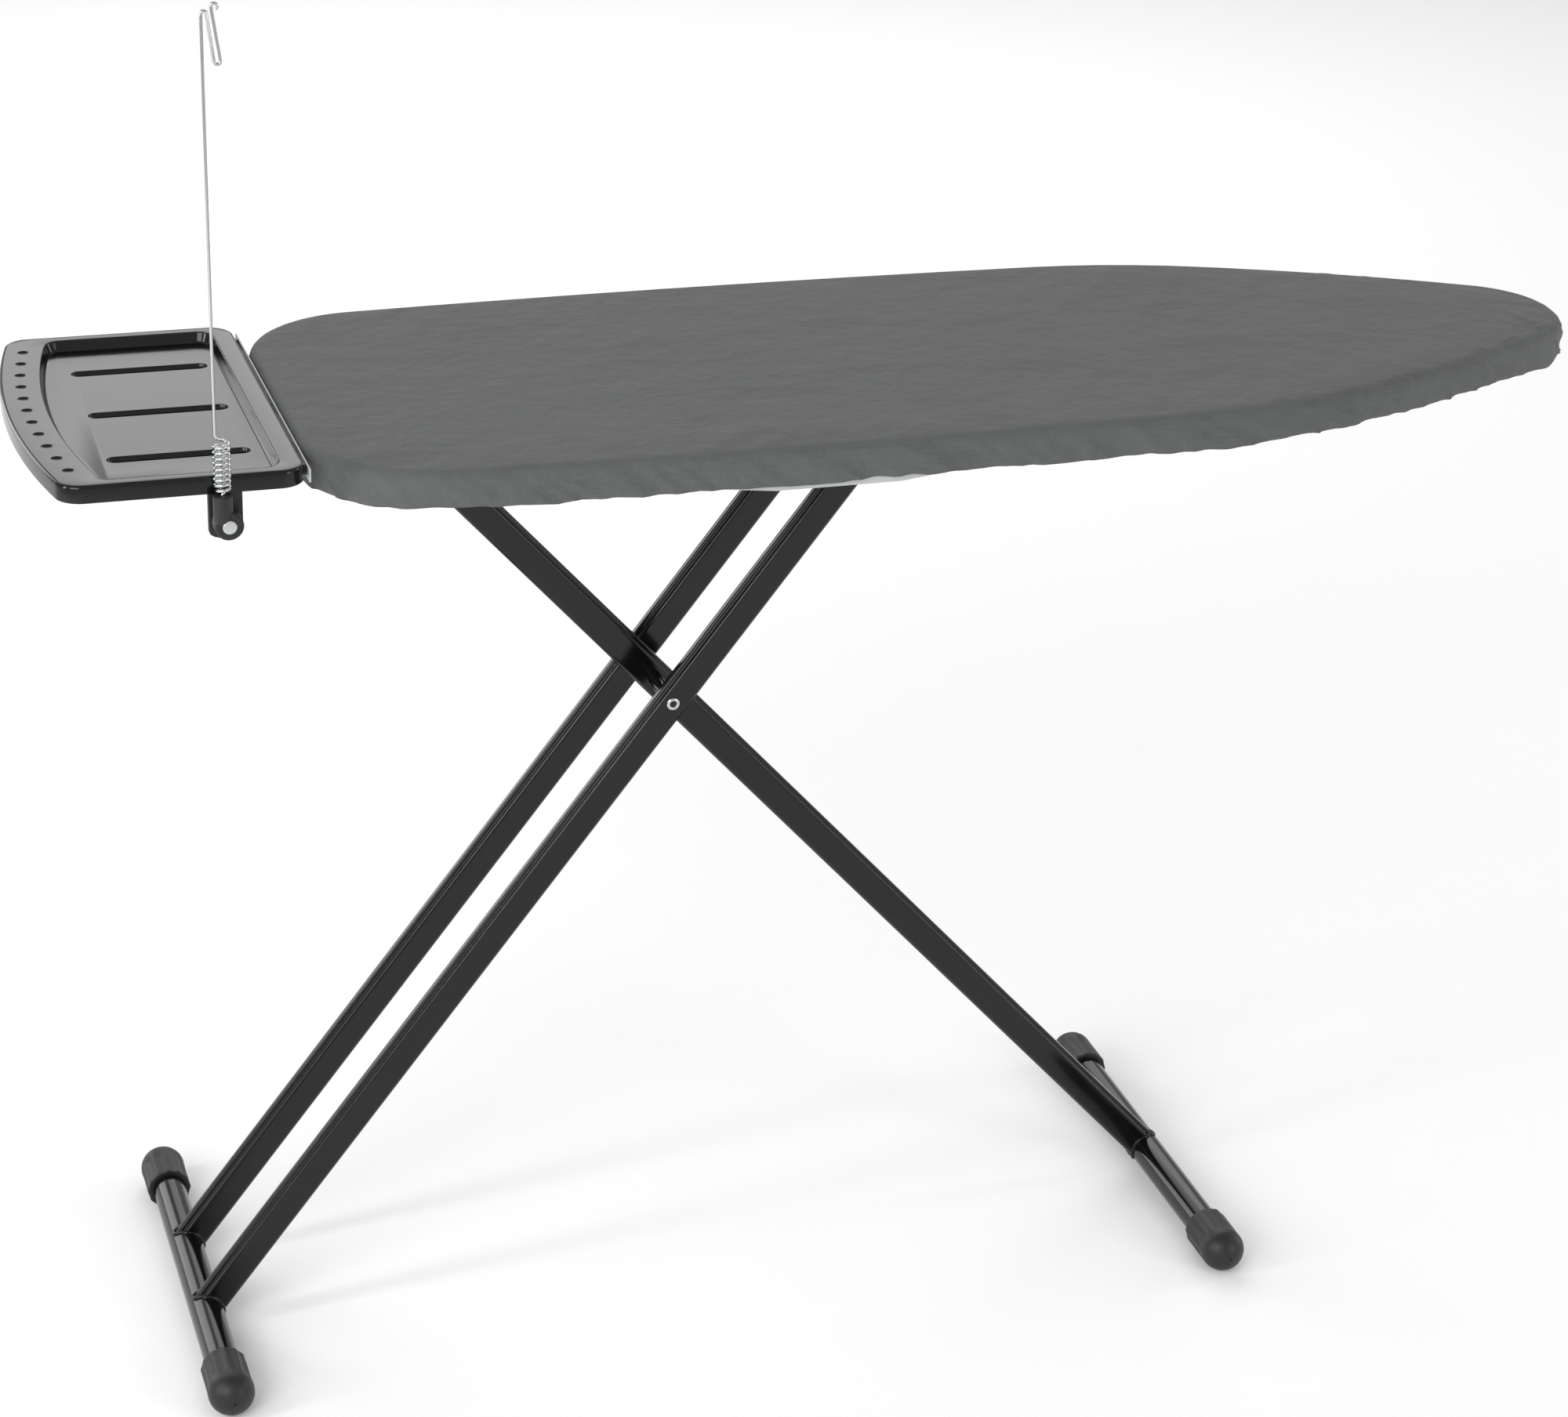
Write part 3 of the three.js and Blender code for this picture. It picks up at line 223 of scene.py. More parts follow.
def loose_object(name, bm):
    mesh = bpy.data.meshes.new(name)
    bm.to_mesh(mesh)
    bm.free()
    made = bpy.data.objects.new(name, mesh)
    bpy.context.scene.collection.objects.link(made)
    return made


def shade(obj, sharp_degrees):
    """Smooth shading that stays crisp at edges sharper than the angle."""
    obj.data.shade_smooth()
    obj.data.set_sharp_from_angle(angle=math.radians(sharp_degrees))


def piece(name, bm, body, material, stands_for=(), sharp_degrees=40):
    """Makes the mesh a piece of the object that rides on a body."""
    made = loose_object(name, bm)
    made.data.materials.append(material)
    shade(made, sharp_degrees)
    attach(made, body)
    if stands_for:
        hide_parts(*stands_for)
    return made


def add_bevel(obj, width, segments=2, degrees=35):
    bevel = obj.modifiers.new("Soft edges", "BEVEL")
    bevel.width = width
    bevel.segments = segments
    bevel.limit_method = "ANGLE"
    bevel.angle_limit = math.radians(degrees)
    bevel.harden_normals = True
    return bevel


def combine(obj, other_bm, operation):
    """Joins the other mesh to the object or cuts it away, and keeps the result."""
    other = loose_object("tool", other_bm)
    boolean = obj.modifiers.new("Combine", "BOOLEAN")
    boolean.operation = operation
    boolean.solver = "EXACT"
    boolean.object = other
    graph = bpy.context.evaluated_depsgraph_get()
    result = bpy.data.meshes.new_from_object(obj.evaluated_get(graph))
    obj.modifiers.remove(boolean)
    obj.data = result
    bpy.data.objects.remove(other)


def gathered(meshes):
    """Several closed meshes in one."""
    everything = bmesh.new()
    for bm in meshes:
        part = bpy.data.meshes.new("part")
        bm.to_mesh(part)
        bm.free()
        everything.from_mesh(part)
        bpy.data.meshes.remove(part)
    return everything


# ---------------------------------------------------------------- outlines


def arc_points(arc, spacing):
    """Points and outward directions along an arc whose angles run from +Y towards +X."""
    steps = max(2, round(abs(arc["to"] - arc["from"]) * arc["r"] / spacing))
    made = []
    for k in range(steps + 1):
        angle = arc["from"] + (arc["to"] - arc["from"]) * k / steps
        out = Vector((math.sin(angle), math.cos(angle), 0))
        made.append((Vector((arc["x"], arc["y"], 0)) + out * arc["r"], out))
    return made


def joined_arcs(arcs, spacing_of):
    """Points along arcs that follow one another, each with the spacing worked out for it."""
    joined = []
    for arc in arcs:
        points = arc_points(arc, spacing_of(arc))
        joined.extend(points if not joined else points[1:])
    return joined


def with_near_half(far):
    """Closed outline: the far half, then its mirror image."""
    near = [(Vector((p.x, -p.y, 0)), Vector((n.x, -n.y, 0))) for p, n in far[1:-1]]
    return far + near[::-1]


# Middle, end and radius of the nearly straight side, as shares of the board's length.
SIDE_MIDDLE, SIDE_END, SIDE_RADIUS = 0.369, 0.634, 6.33
CORNER_RADIUS = 0.49  # share of half the board's width
SHOULDER_RADIUS, FLANK_RADIUS = 0.44, 1.166  # shares of the board's length
SHOULDER_END = 0.336  # radians from the side's direction


def board_arcs():
    """Square end, round corners, nearly straight sides, a shoulder, a flank and a nose."""
    half = BOARD_WIDTH / 2
    x0 = BOARD_LOW.x
    side = {"x": x0 + SIDE_MIDDLE * BOARD_LENGTH, "r": SIDE_RADIUS * BOARD_LENGTH}
    side["y"] = half - side["r"]
    corner = {"r": CORNER_RADIUS * half, "from": -math.pi / 2}
    corner["x"] = x0 + corner["r"]
    rise = math.sqrt((side["r"] - corner["r"]) ** 2 - (corner["x"] - side["x"]) ** 2)
    corner["y"] = side["y"] + rise
    side["from"] = math.atan2(corner["x"] - side["x"], corner["y"] - side["y"])
    side["to"] = math.asin((x0 + SIDE_END * BOARD_LENGTH - side["x"]) / side["r"])
    corner["to"] = side["from"]
    shoulder = continued(side, SHOULDER_RADIUS * BOARD_LENGTH)
    shoulder["to"] = SHOULDER_END
    flank = continued(shoulder, FLANK_RADIUS * BOARD_LENGTH)
    reach = BOARD_HIGH.x - flank["x"]
    nose = {"y": 0, "to": math.pi / 2}
    nose["r"] = (flank["r"] ** 2 - flank["y"] ** 2 - reach ** 2) / (2 * (flank["r"] - reach))
    nose["x"] = BOARD_HIGH.x - nose["r"]
    flank["to"] = nose["from"] = math.acos(-flank["y"] / (flank["r"] - nose["r"]))
    end = {"x": x0, "y": corner["y"]}
    return [end, corner, side, shoulder, flank, nose]


def continued(before, radius):
    """Centre and starting angle of an arc that carries on from the one before it."""
    shift = before["r"] - radius
    return {
        "r": radius, "from": before["to"],
        "x": before["x"] + shift * math.sin(before["to"]),
        "y": before["y"] + shift * math.cos(before["to"]),
    }


def board_outline(spacing):
    """The board's outline; its square end is divided as finely as the rest."""
    end, *arcs = board_arcs()
    steps = max(2, round(end["y"] / spacing))
    flat = [(Vector((end["x"], end["y"] * k / steps, 0)), -X) for k in range(steps)]
    round_part = with_near_half(joined_arcs(arcs, lambda arc: spacing))
    count = len(round_part)
    last_far = next(k for k in range(count) if round_part[k][0].y < 1e-6)
    far, near = round_part[:last_far + 1], round_part[last_far + 1:]
    mirrored = [(Vector((p.x, -p.y, 0)), n) for p, n in flat[1:]]
    corner_end = (Vector((end["x"], -end["y"], 0)), -X)
    return [*flat, *far, *near, corner_end, *mirrored[::-1]]


def bowed_arcs(x0, x1, half_width, end_radius, corner_radius):
    """Rectangle with round corners whose tail end is a shallow arc."""
    end = {"x": x0 + end_radius, "y": 0, "r": end_radius, "from": -math.pi / 2}
    corner = {"y": half_width - corner_radius, "r": corner_radius}
    reach = end["r"] - corner["r"]
    corner["x"] = end["x"] - math.sqrt(reach ** 2 - corner["y"] ** 2)
    meeting = math.atan2(corner["x"] - end["x"], corner["y"])
    end["to"] = corner["from"] = meeting
    corner["to"] = 0
    inner = {"x": x1 - corner_radius, "y": corner["y"], "r": corner_radius, "from": 0,
             "to": math.pi / 2}
    return [end, corner, inner]


# ---------------------------------------------------------------- materials


def add_node(tree, kind, inputs=None, **settings):
    """One node with its settings; an input is a value, or another node's output to link."""
    made = tree.nodes.new(kind)
    for name, value in settings.items():
        setattr(made, name, value)
    for name, value in (inputs or {}).items():
        if isinstance(value, bpy.types.NodeSocket):
            tree.links.new(value, made.inputs[name])
        else:
            made.inputs[name].default_value = value
    return made


def new_material(name):
    """A fresh material, with its tree and its shader."""
    material = bpy.data.materials.new(name)
    material.use_nodes = True
    return material, material.node_tree, material.node_tree.nodes["Principled BSDF"]


def object_noise(tree, size, detail=2.0, roughness=0.5):
    """Noise whose grains are about size metres across."""
    place = add_node(tree, "ShaderNodeTexCoord").outputs["Object"]
    return noise_at(tree, place, size, detail, roughness)


def noise_at(tree, place, size, detail, roughness):
    return add_node(tree, "ShaderNodeTexNoise", {
        "Vector": place, "Scale": 1 / size, "Detail": detail, "Roughness": roughness,
    }).outputs["Fac"]


def streak_noise(tree, size, length):
    """Noise whose grains are size metres wide and drawn out along X to the given length."""
    place = add_node(tree, "ShaderNodeTexCoord").outputs["Object"]
    drawn = add_node(tree, "ShaderNodeVectorMath", {
        0: place, 1: (size / length, 1, 1)}, operation="MULTIPLY").outputs["Vector"]
    return noise_at(tree, drawn, size, 3.0, 0.6)


def between(tree, factor, low, high):
    """A value that runs from low to high as the factor runs from 0 to 1."""
    return add_node(tree, "ShaderNodeMapRange", {
        "Value": factor, "To Min": low, "To Max": high}).outputs["Result"]


def tinted(tree, factor, colour, darker, lighter):
    """The colour, made darker and lighter by shares as the factor runs from 0 to 1."""
    ramp = add_node(tree, "ShaderNodeValToRGB", {"Fac": factor})
    for stop, share in zip(ramp.color_ramp.elements, (darker, lighter)):
        stop.color = (*(channel * share for channel in colour), 1)
    ramp.color_ramp.elements[0].position = 0.25
    ramp.color_ramp.elements[1].position = 0.75
    return ramp.outputs["Color"]


def bumps(tree, height, distance, strength=1.0, under=None):
    inputs = {"Height": height, "Distance": distance, "Strength": strength}
    if under is not None:
        inputs["Normal"] = under
    return add_node(tree, "ShaderNodeBump", inputs).outputs["Normal"]


def set_shader(tree, shader, **sockets):
    for name, value in sockets.items():
        socket = shader.inputs[name.replace("_", " ").title().replace("Ior", "IOR")]
        if isinstance(value, bpy.types.NodeSocket):
            tree.links.new(value, socket)
        elif hasattr(value, "__len__") and len(value) == 3:
            socket.default_value = (*value, 1)
        else:
            socket.default_value = value


def threads(tree, axis, spacing):
    """Ridges of threads that run across an axis."""
    place = add_node(tree, "ShaderNodeTexCoord").outputs["Object"]
    return add_node(tree, "ShaderNodeTexWave", {
        "Vector": place, "Scale": math.pi / (10 * spacing), "Distortion": 1.6,
        "Detail": 2.0, "Detail Scale": 1.5,
    }, bands_direction=axis).outputs["Fac"]


def woven_cotton(colour):
    """Cotton, plain weave, piece-dyed: matt, with a faint grain and slightly uneven dye."""
    material, tree, shader = new_material("Cotton plain weave")
    # Threads are 0.4 mm apart on the real cloth; drawn at 1.3 mm, the finest that shows.
    weave = add_node(tree, "ShaderNodeMath", {
        0: threads(tree, "X", 1.3 * MM), 1: threads(tree, "Y", 1.3 * MM)},
        operation="MULTIPLY").outputs["Value"]
    slub = streak_noise(tree, 2.2 * MM, 26 * MM)
    dye = streak_noise(tree, 45 * MM, 140 * MM)
    patches = add_node(tree, "ShaderNodeMath", {0: slub, 1: dye}, operation="ADD").outputs["Value"]
    shared = between(tree, patches, -0.5, 0.5)
    crumples = bumps(tree, object_noise(tree, 30 * MM, 4.0, 0.6), 5 * MM, 0.7)
    grain = bumps(tree, weave, 0.10 * MM, 0.5, crumples)
    set_shader(
        tree, shader,
        base_color=tinted(tree, shared, colour, 0.86, 1.14),
        roughness=between(tree, slub, 0.82, 0.97),
        normal=bumps(tree, slub, 0.3 * MM, 0.5, grain),
        sheen_weight=0.08, sheen_roughness=0.5, ior=1.45, specular_ior_level=0.3)
    return material


def mottled(name, hex_colour, grain, tint, roughness, bump=None, **sockets):
    """A finish that one noise varies. Grain is the noise's size, detail and roughness; tint and
    roughness are the ends of their ranges; bump is the height and strength of its relief."""
    material, tree, shader = new_material(name)
    mottle = object_noise(tree, *grain)
    if bump:
        sockets["normal"] = bumps(tree, mottle, *bump)
    set_shader(
        tree, shader, base_color=tinted(tree, mottle, linear(hex_colour), *tint),
        roughness=between(tree, mottle, *roughness), **sockets)
    return material


def needled_felt():
    """Needled polyester felt: white, fibrous and quite without gloss."""
    return mottled("Needled felt", "#dcd9cf", (3 * MM, 6.0, 0.7), (0.82, 1.05), (0.98, 0.98),
                   (0.8 * MM, 0.7))


def powder_coat(name, colour, roughness):
    """Polyester powder coat, oven-cured on steel: semi-gloss with a faint orange peel."""
    # Polyester's index of refraction is nearer 1.5; 1.42 keeps the near faces dark.
    material, tree, shader = new_material(name)
    peel = object_noise(tree, 1.6 * MM, 1.0)
    handling = object_noise(tree, 45 * MM, 4.0, 0.6)
    set_shader(
        tree, shader,
        base_color=tinted(tree, handling, colour, 0.95, 1.05),
        roughness=between(tree, handling, roughness - 0.02, roughness + 0.02),
        normal=bumps(tree, peel, 0.002 * MM, 0.2),
        ior=1.42)
    return material


def moulded_polypropylene(colour):
    """Polypropylene, moulded in a spark-eroded tool: satin, with a fine even texture."""
    material, tree, shader = new_material("Moulded polypropylene")
    # Texture grains are about 0.3 mm; drawn at 0.9 mm, so that they show.
    spark = object_noise(tree, 0.9 * MM, 2.0, 0.6)
    flow = object_noise(tree, 12 * MM, 3.0)
    set_shader(
        tree, shader,
        base_color=tinted(tree, flow, colour, 0.85, 1.2),
        roughness=between(tree, flow, 0.42, 0.55),
        normal=bumps(tree, spark, 0.02 * MM, 0.5), ior=1.49)
    return material


def zinc_plated_steel():
    """Mild steel, bright zinc plate: cloudy silver with soft reflections."""
    return mottled("Bright zinc-plated steel", "#c9cbcd", (6 * MM, 4.0, 0.65), (0.9, 1.06),
                   (0.2, 0.34), (0.03 * MM, 0.3), metallic=1.0)


def drawn_spring_wire():
    """Spring steel, cold drawn and nickel plated: bright, with faint marks along the wire."""
    return mottled("Drawn nickel-plated wire", "#c4c6c8", (1.2 * MM, 2.0), (0.92, 1.05),
                   (0.12, 0.2), (0.01 * MM, 0.3), metallic=1.0)


def studio_paper():
    """Seamless background paper: matt and nearly white."""
    return mottled("Background paper", "#fcfcfc", (60 * MM, 3.0), (0.995, 1.0), (0.9, 0.9),
                   specular_ior_level=0.1)


FINISHES = {}


def finish(name):
    """One of the object's finishes, made once with the colours of the settings."""
    settings = bpy.context.scene.ironing_board
    makers = {
        "cotton": lambda: woven_cotton(settings.cover_colour),
        "felt": needled_felt,
        "black_coat": lambda: powder_coat("Black powder coat", settings.steel_colour, 0.14),
        "grey_coat": lambda: powder_coat("Grey powder coat", settings.deck_colour, 0.4),
        "plastic": lambda: moulded_polypropylene(settings.plastic_colour),
        "zinc": zinc_plated_steel,
        "wire": drawn_spring_wire,
    }
    if name not in FINISHES:
        FINISHES[name] = makers[name]()
    return FINISHES[name]


def refinish(node, finish_name, soft_edge=0.3 * MM):
    """Gives a CAD node its finish, and soft edges that catch the light."""
    obj = frame["nodes"][node]
    for name in ("custom_normal", "sharp_edge", "sharp_face"):
        attribute = obj.data.attributes.get(name)
        if attribute is not None:
            obj.data.attributes.remove(attribute)
    obj.data.shade_smooth()
    obj.data.materials.clear()
    obj.data.materials.append(finish(finish_name))
    weld = obj.modifiers.new("Joined faces", "WELD")
    weld.merge_threshold = 0.01 * MM
    add_bevel(obj, soft_edge)
    return obj


# ---------------------------------------------------------------- cover and pad

OUTLINE_SPACING = 5 * MM
EDGE_ROUND = 10 * MM
CLOTH = 0.8 * MM
SPINE = (BOARD_LOW.x + 0.32 * BOARD_WIDTH, BOARD_HIGH.x - 0.16 * BOARD_WIDTH)
SKIRT_ROWS, ROUND_ROWS, TOP_ROWS, PAD_ROWS = 9, 6, 26, 6
CORNER_LIFT = 3 * MM
END_ROOM = 0.5 * MM  # between the flat square end and the plate beside it
# Length and depth of the waves in the cloth, and the seed of each noise.
WIDE_FOLDS = (46 * MM, 70 * MM, 3.1)
PINCHED_FOLDS = (24 * MM, 55 * MM, 8.7)
FINE_FOLDS = (13 * MM, 30 * MM, 5.2)
HEM_ROLL = (70 * MM, 1, 21.3)
HEM_RIPPLE = (17 * MM, 1, 5.9)
EDGE_CREASES = (24 * MM, 60 * MM, 12.4)
LONG_CREASES = (75 * MM, 190 * MM, 6.0)


def ripple(point, size, seed):
    """Smooth noise from -1 to 1 whose waves are about size metres long."""
    return noise.noise(Vector((point.x / size, point.y / size, point.z / size + seed)))


def gather_share(point):
    """How strongly the elastic gathers the skirt: most at both ends, least along the sides."""
    from_end = point.x - BOARD_LOW.x
    to_nose = BOARD_HIGH.x - point.x
    square_end = 1 - smooth_step(from_end / (0.13 * BOARD_LENGTH))
    nose_end = 1 - smooth_step(to_nose / (0.45 * BOARD_LENGTH))
    return 0.65 + 0.35 * max(square_end, nose_end)


def waves(along, across, sizes):
    """Smooth noise over two distances; sizes are its two wavelengths and its seed."""
    length, depth, seed = sizes
    return noise.noise(Vector((along / length, across / depth, seed)))


def ridge(along, across, sizes):
    """The same noise with sharp crests, from 0 to 1, like pinched cloth."""
    return max(0.0, 1 - 3.2 * abs(waves(along, across, sizes)))


def pucker(point, travel, drop, height):
    """How far the skirt stands out: folds that lean along the edge and grow towards the hem."""
    lean = travel + 1.3 * drop
    fine = waves(travel - 0.5 * drop, drop, FINE_FOLDS)
    wide, pinched = waves(lean, drop, WIDE_FOLDS), ridge(lean, drop, PINCHED_FOLDS)
    folds = 0.3 + 0.6 * wide + 0.7 * pinched + 0.2 * fine
    grown = 0.25 + 0.75 * smooth_step(drop / (26 * MM))
    stand = height * gather_share(point) * max(0.0, folds) * grown
    tip_room = END_ROOM + 0.1 * (BOARD_HIGH.x - point.x) + 1.5 * MM
    return min(stand, tip_room, END_ROOM + 0.6 * (point.x - BOARD_LOW.x))


def hem_height(point, travel, wave):
    """Level of the hem, which rolls up and down and is drawn up round the square end's corners."""
    rolling = wave * waves(travel, 0, HEM_ROLL)
    rolling += 0.5 * wave * waves(travel, 0, HEM_RIPPLE)
    corner = 1 - smooth_step((point.x - BOARD_LOW.x) / (0.10 * BOARD_LENGTH))
    on_corner = corner * smooth_step(abs(point.y) / (0.5 * BOARD_WIDTH) * 2 - 0.9)
    return HEM_LEVEL + rolling + CORNER_LIFT * on_corner


def apron_share(point):
    """1 along the deeper middle stretch of the rim, where the hem can't tuck under it."""
    beyond = abs(point.x - BOARD_LOW.x - 0.359 * BOARD_LENGTH)
    on_end = 1 - smooth_step((point.x - BOARD_LOW.x) / (4 * MM))
    return max(1 - smooth_step((beyond - 0.075) / 0.075), on_end)


def cover_rings(settings):
    """Rings of the cover from the tucked hem, up the skirt and over the edge to the middle."""
    outline = board_outline(OUTLINE_SPACING)
    travels = [0.0]
    for (a, _), (b, _) in zip(outline, outline[1:]):
        travels.append(travels[-1] + (b - a).length)

    def ring(place):
        return [place(*at, travel) for at, travel in zip(outline, travels)]

    def stand_at(point, travel, drop):
        return pucker(point, travel, drop, settings.pucker_height)

    def tucked(point, out, travel):
        hem = hem_height(point, travel, settings.hem_wave)
        under_rim = smooth_step((RIM_BOTTOM - hem) / (1.5 * MM)) * (1 - apron_share(point))
        inward = 0.6 * stand_at(point, travel, BOARD_TOP - hem) - (0.9 + 4.5 * under_rim) * MM
        return point + out * inward + Z * (hem + (0.5 + 0.4 * under_rim) * MM)

    def on_skirt(share):
        def place(point, out, travel):
            hem = hem_height(point, travel, settings.hem_wave)
            z = hem + (BOARD_TOP - EDGE_ROUND - hem) * share
            return point + out * stand_at(point, travel, BOARD_TOP - z) + Z * z
        return place

    def on_edge(angle):
        drop, inset = EDGE_ROUND * (1 - math.sin(angle)), EDGE_ROUND * (1 - math.cos(angle))

        def place(point, out, travel):
            stand = stand_at(point, travel, drop) * math.cos(angle)
            return point + out * (stand - inset) + Z * (BOARD_TOP - drop)
        return place

    def on_top(share):
        def place(point, out, travel):
            start = point - out * EDGE_ROUND
            spine = Vector((min(max(point.x, SPINE[0]), SPINE[1]), 0, 0))
            at = start.lerp(spine, share ** 1.25)
            return at + Z * (BOARD_TOP + crease(at, point, travel, (at - start).length))
        return place

    return [
        ring(tucked),
        *(ring(on_skirt(row / SKIRT_ROWS)) for row in range(SKIRT_ROWS + 1)),
        *(ring(on_edge(angle)) for angle in quarter(ROUND_ROWS)[1:]),
        *(ring(on_top(row / TOP_ROWS)) for row in range(1, TOP_ROWS + 1)),
    ]


def crease(at, edge_point, travel, inward):
    """Height of the cloth above the pad: short creases at the edge, soft diagonal ones inside."""
    lean = travel + 0.9 * inward
    short = waves(lean, inward, EDGE_CREASES)
    reach = math.exp(-inward / (32 * MM))
    edge = 3.6 * MM * gather_share(edge_point) * max(0.0, short) * reach
    slant = 0.8 * at.x - 0.6 * at.y
    across = 0.6 * at.x + 0.8 * at.y
    towards_nose = smooth_step((at.x - BOARD_LOW.x) / BOARD_LENGTH * 1.6 - 0.5)
    pulled = ridge(slant, across, LONG_CREASES)
    swell = 0.5 + 0.5 * ripple(at, 110 * MM, 2.0)
    inside = smooth_step(inward / (25 * MM))
    soft = (0.35 + 1.0 * towards_nose) * MM * pulled + 1.0 * MM * swell
    return edge + inside * soft


def build_cover(settings):
    bm = bent_grid(cover_rings(settings))
    bmesh.ops.remove_doubles(bm, verts=bm.verts, dist=0.4 * MM)
    loose_end = [edge for edge in bm.edges if edge.is_boundary and edge.verts[0].co.z > BOARD_TOP - MM]
    if loose_end:
        bmesh.ops.holes_fill(bm, edges=loose_end, sides=0)
    face_outwards(bm)
    top = max(bm.faces, key=lambda face: face.calc_center_median().z)
    if top.normal.z < 0:
        bmesh.ops.reverse_faces(bm, faces=bm.faces)
    cover = piece("cotton_cover", bm, "board", finish("cotton"), ["cover"], 180)
    wall = cover.modifiers.new("Cloth", "SOLIDIFY")
    wall.thickness = CLOTH
    wall.offset = -1
    return cover


def build_pad():
    """Felt pad with a rounded edge, which the cover is stretched over."""
    low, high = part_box("pad")
    outline = board_outline(2 * OUTLINE_SPACING)
    edge_z = BOARD_TOP - EDGE_ROUND
    radius = high.z - edge_z
    start = math.asin((low.z - edge_z) / radius)
    rings = []
    for row in range(PAD_ROWS + 1):
        angle = start + (math.pi / 2 - start) * row / PAD_ROWS
        inset = EDGE_ROUND - radius * math.cos(angle) + 0.2 * MM
        rings.append(inset_ring(outline, inset, edge_z + radius * math.sin(angle)))
    bm = bent_grid(rings)
    close_ends(bm)
    return piece("felt_pad", bm, "board", finish("felt"), ["pad"], 50)


class IRONING_OT_cover(bpy.types.Operator):
    """Builds the cotton cover and the felt pad under it"""

    bl_idname = "ironing.cover"
    bl_label = "Cover and pad"

    def execute(self, context):
        pad = build_pad()
        cover = build_cover(context.scene.ironing_board)
        outline = board_outline(OUTLINE_SPACING)
        corners = [point for point, _ in outline]
        turns = zip(corners, corners[1:] + corners[:1])
        top_area = abs(sum(a.x * b.y - b.x * a.y for a, b in turns)) / 2
        return {"FINISHED"}


# ---------------------------------------------------------------- iron rest

TRAY_SHEET = 1.2 * MM
TRAY_SKIRT = TRAY_TOP - 15 * MM
RECESS_DEPTH = 9 * MM
PANEL_Z = TRAY_TOP - RECESS_DEPTH
TRAY_END_RADIUS = 2.11 * TRAY_WIDTH
TRAY_BORDER = {"end": 34 * MM, "inner": 18 * MM, "side": 12 * MM}


def inset_ring(outline, inward, z):
    return [point - out * inward + Z * z for point, out in outline]


def tray_rings(steps):
    """The pressed sheet's section, from the panel's underside round the skirt to its top."""
    half = TRAY_WIDTH / 2
    outer = even_outline(bowed_arcs(TRAY_LOW.x, TRAY_HIGH.x, half, TRAY_END_RADIUS, 22 * MM), steps)
    recess = even_outline(bowed_arcs(
        TRAY_LOW.x + TRAY_BORDER["end"], TRAY_HIGH.x - TRAY_BORDER["inner"],
        half - TRAY_BORDER["side"], TRAY_END_RADIUS - TRAY_BORDER["end"], 16 * MM), steps)
    under = TRAY_TOP - TRAY_SHEET
    rings = [
        inset_ring(recess, 4.6 * MM, PANEL_Z - TRAY_SHEET),
        inset_ring(recess, 2.2 * MM, PANEL_Z - TRAY_SHEET + 0.6 * MM),
        inset_ring(recess, -0.2 * MM, under - 1 * MM),
        inset_ring(recess, -1.2 * MM, under),
        inset_ring(outer, 3.2 * MM, under),
        inset_ring(outer, TRAY_SHEET, TRAY_TOP - 3.2 * MM),
        inset_ring(outer, TRAY_SHEET, TRAY_SKIRT),
        inset_ring(outer, 0, TRAY_SKIRT),
    ]
    shoulder = 3 * MM
    for angle in quarter(5):
        rings.append(inset_ring(
            outer, shoulder * (1 - math.cos(angle)), TRAY_TOP - shoulder * (1 - math.sin(angle))))
    lip = 1.6 * MM
    for angle in quarter(4):
        rings.append(inset_ring(
            recess, lip * (math.sin(angle) - 1) + 1 * MM, TRAY_TOP - lip * (1 - math.cos(angle))))
    foot = 2.4 * MM
    for angle in quarter(4):
        rings.append(inset_ring(
            recess, 3.4 * MM + foot * (1 - math.cos(angle)), PANEL_Z + foot * (1 - math.sin(angle))))
    return rings


def quarter(steps):
    """Angles from 0 to a quarter turn."""
    return [math.pi / 2 * k / steps for k in range(steps + 1)]


def even_outline(arcs, steps):
    """Outline with the same number of points on each arc, so two outlines can be joined."""
    far = joined_arcs(arcs, lambda arc: abs(arc["to"] - arc["from"]) * arc["r"] / steps)
    # The inner end is straight, from the last corner to the middle.
    last, out = far[-1]
    far += [(Vector((last.x, last.y * (1 - k / steps), 0)), out) for k in range(1, steps + 1)]
    return with_near_half(far)


def bowl(centre, rings, sides):
    """Closed cutter or bulge: (radius, height) pairs from the top down."""
    loops = []
    for radius, height in rings:
        loops.append([
            centre + Vector((radius * math.cos(t), radius * math.sin(t), height))
            for t in (FULL_TURN * k / sides for k in range(sides))])
    return close_ends(bent_grid(loops))


def long_slot(x0, x1, y, rings, steps=10):
    """Slot along X with round ends: (radius, z) pairs from the top down."""
    loops = []
    for radius, z in rings:
        loop = []
        for x, start in ((x1, -0.5), (x0, 0.5)):
            for k in range(steps + 1):
                angle = (start + k / steps) * math.pi
                loop.append(Vector((x + radius * math.cos(angle), y + radius * math.sin(angle), z)))
        loops.append(loop)
    return close_ends(bent_grid(loops))


def groove_places():
    """Ends and rows of the three drip grooves."""
    x0 = TRAY_LOW.x + 76 * MM
    x1 = TRAY_HIGH.x - 40 * MM
    return [(x0, x1, row * 0.29 * TRAY_WIDTH) for row in (-1, 0, 1)]


def dimple_centres():
    """Eleven dimples that follow the bowed end."""
    count = 11
    radius = TRAY_END_RADIUS - 18 * MM
    middle = TRAY_LOW.x + TRAY_END_RADIUS
    rows = [(k - (count - 1) / 2) * 0.0795 * TRAY_WIDTH for k in range(count)]
    return [Vector((middle - math.sqrt(radius ** 2 - y ** 2), y, 0)) for y in rows]


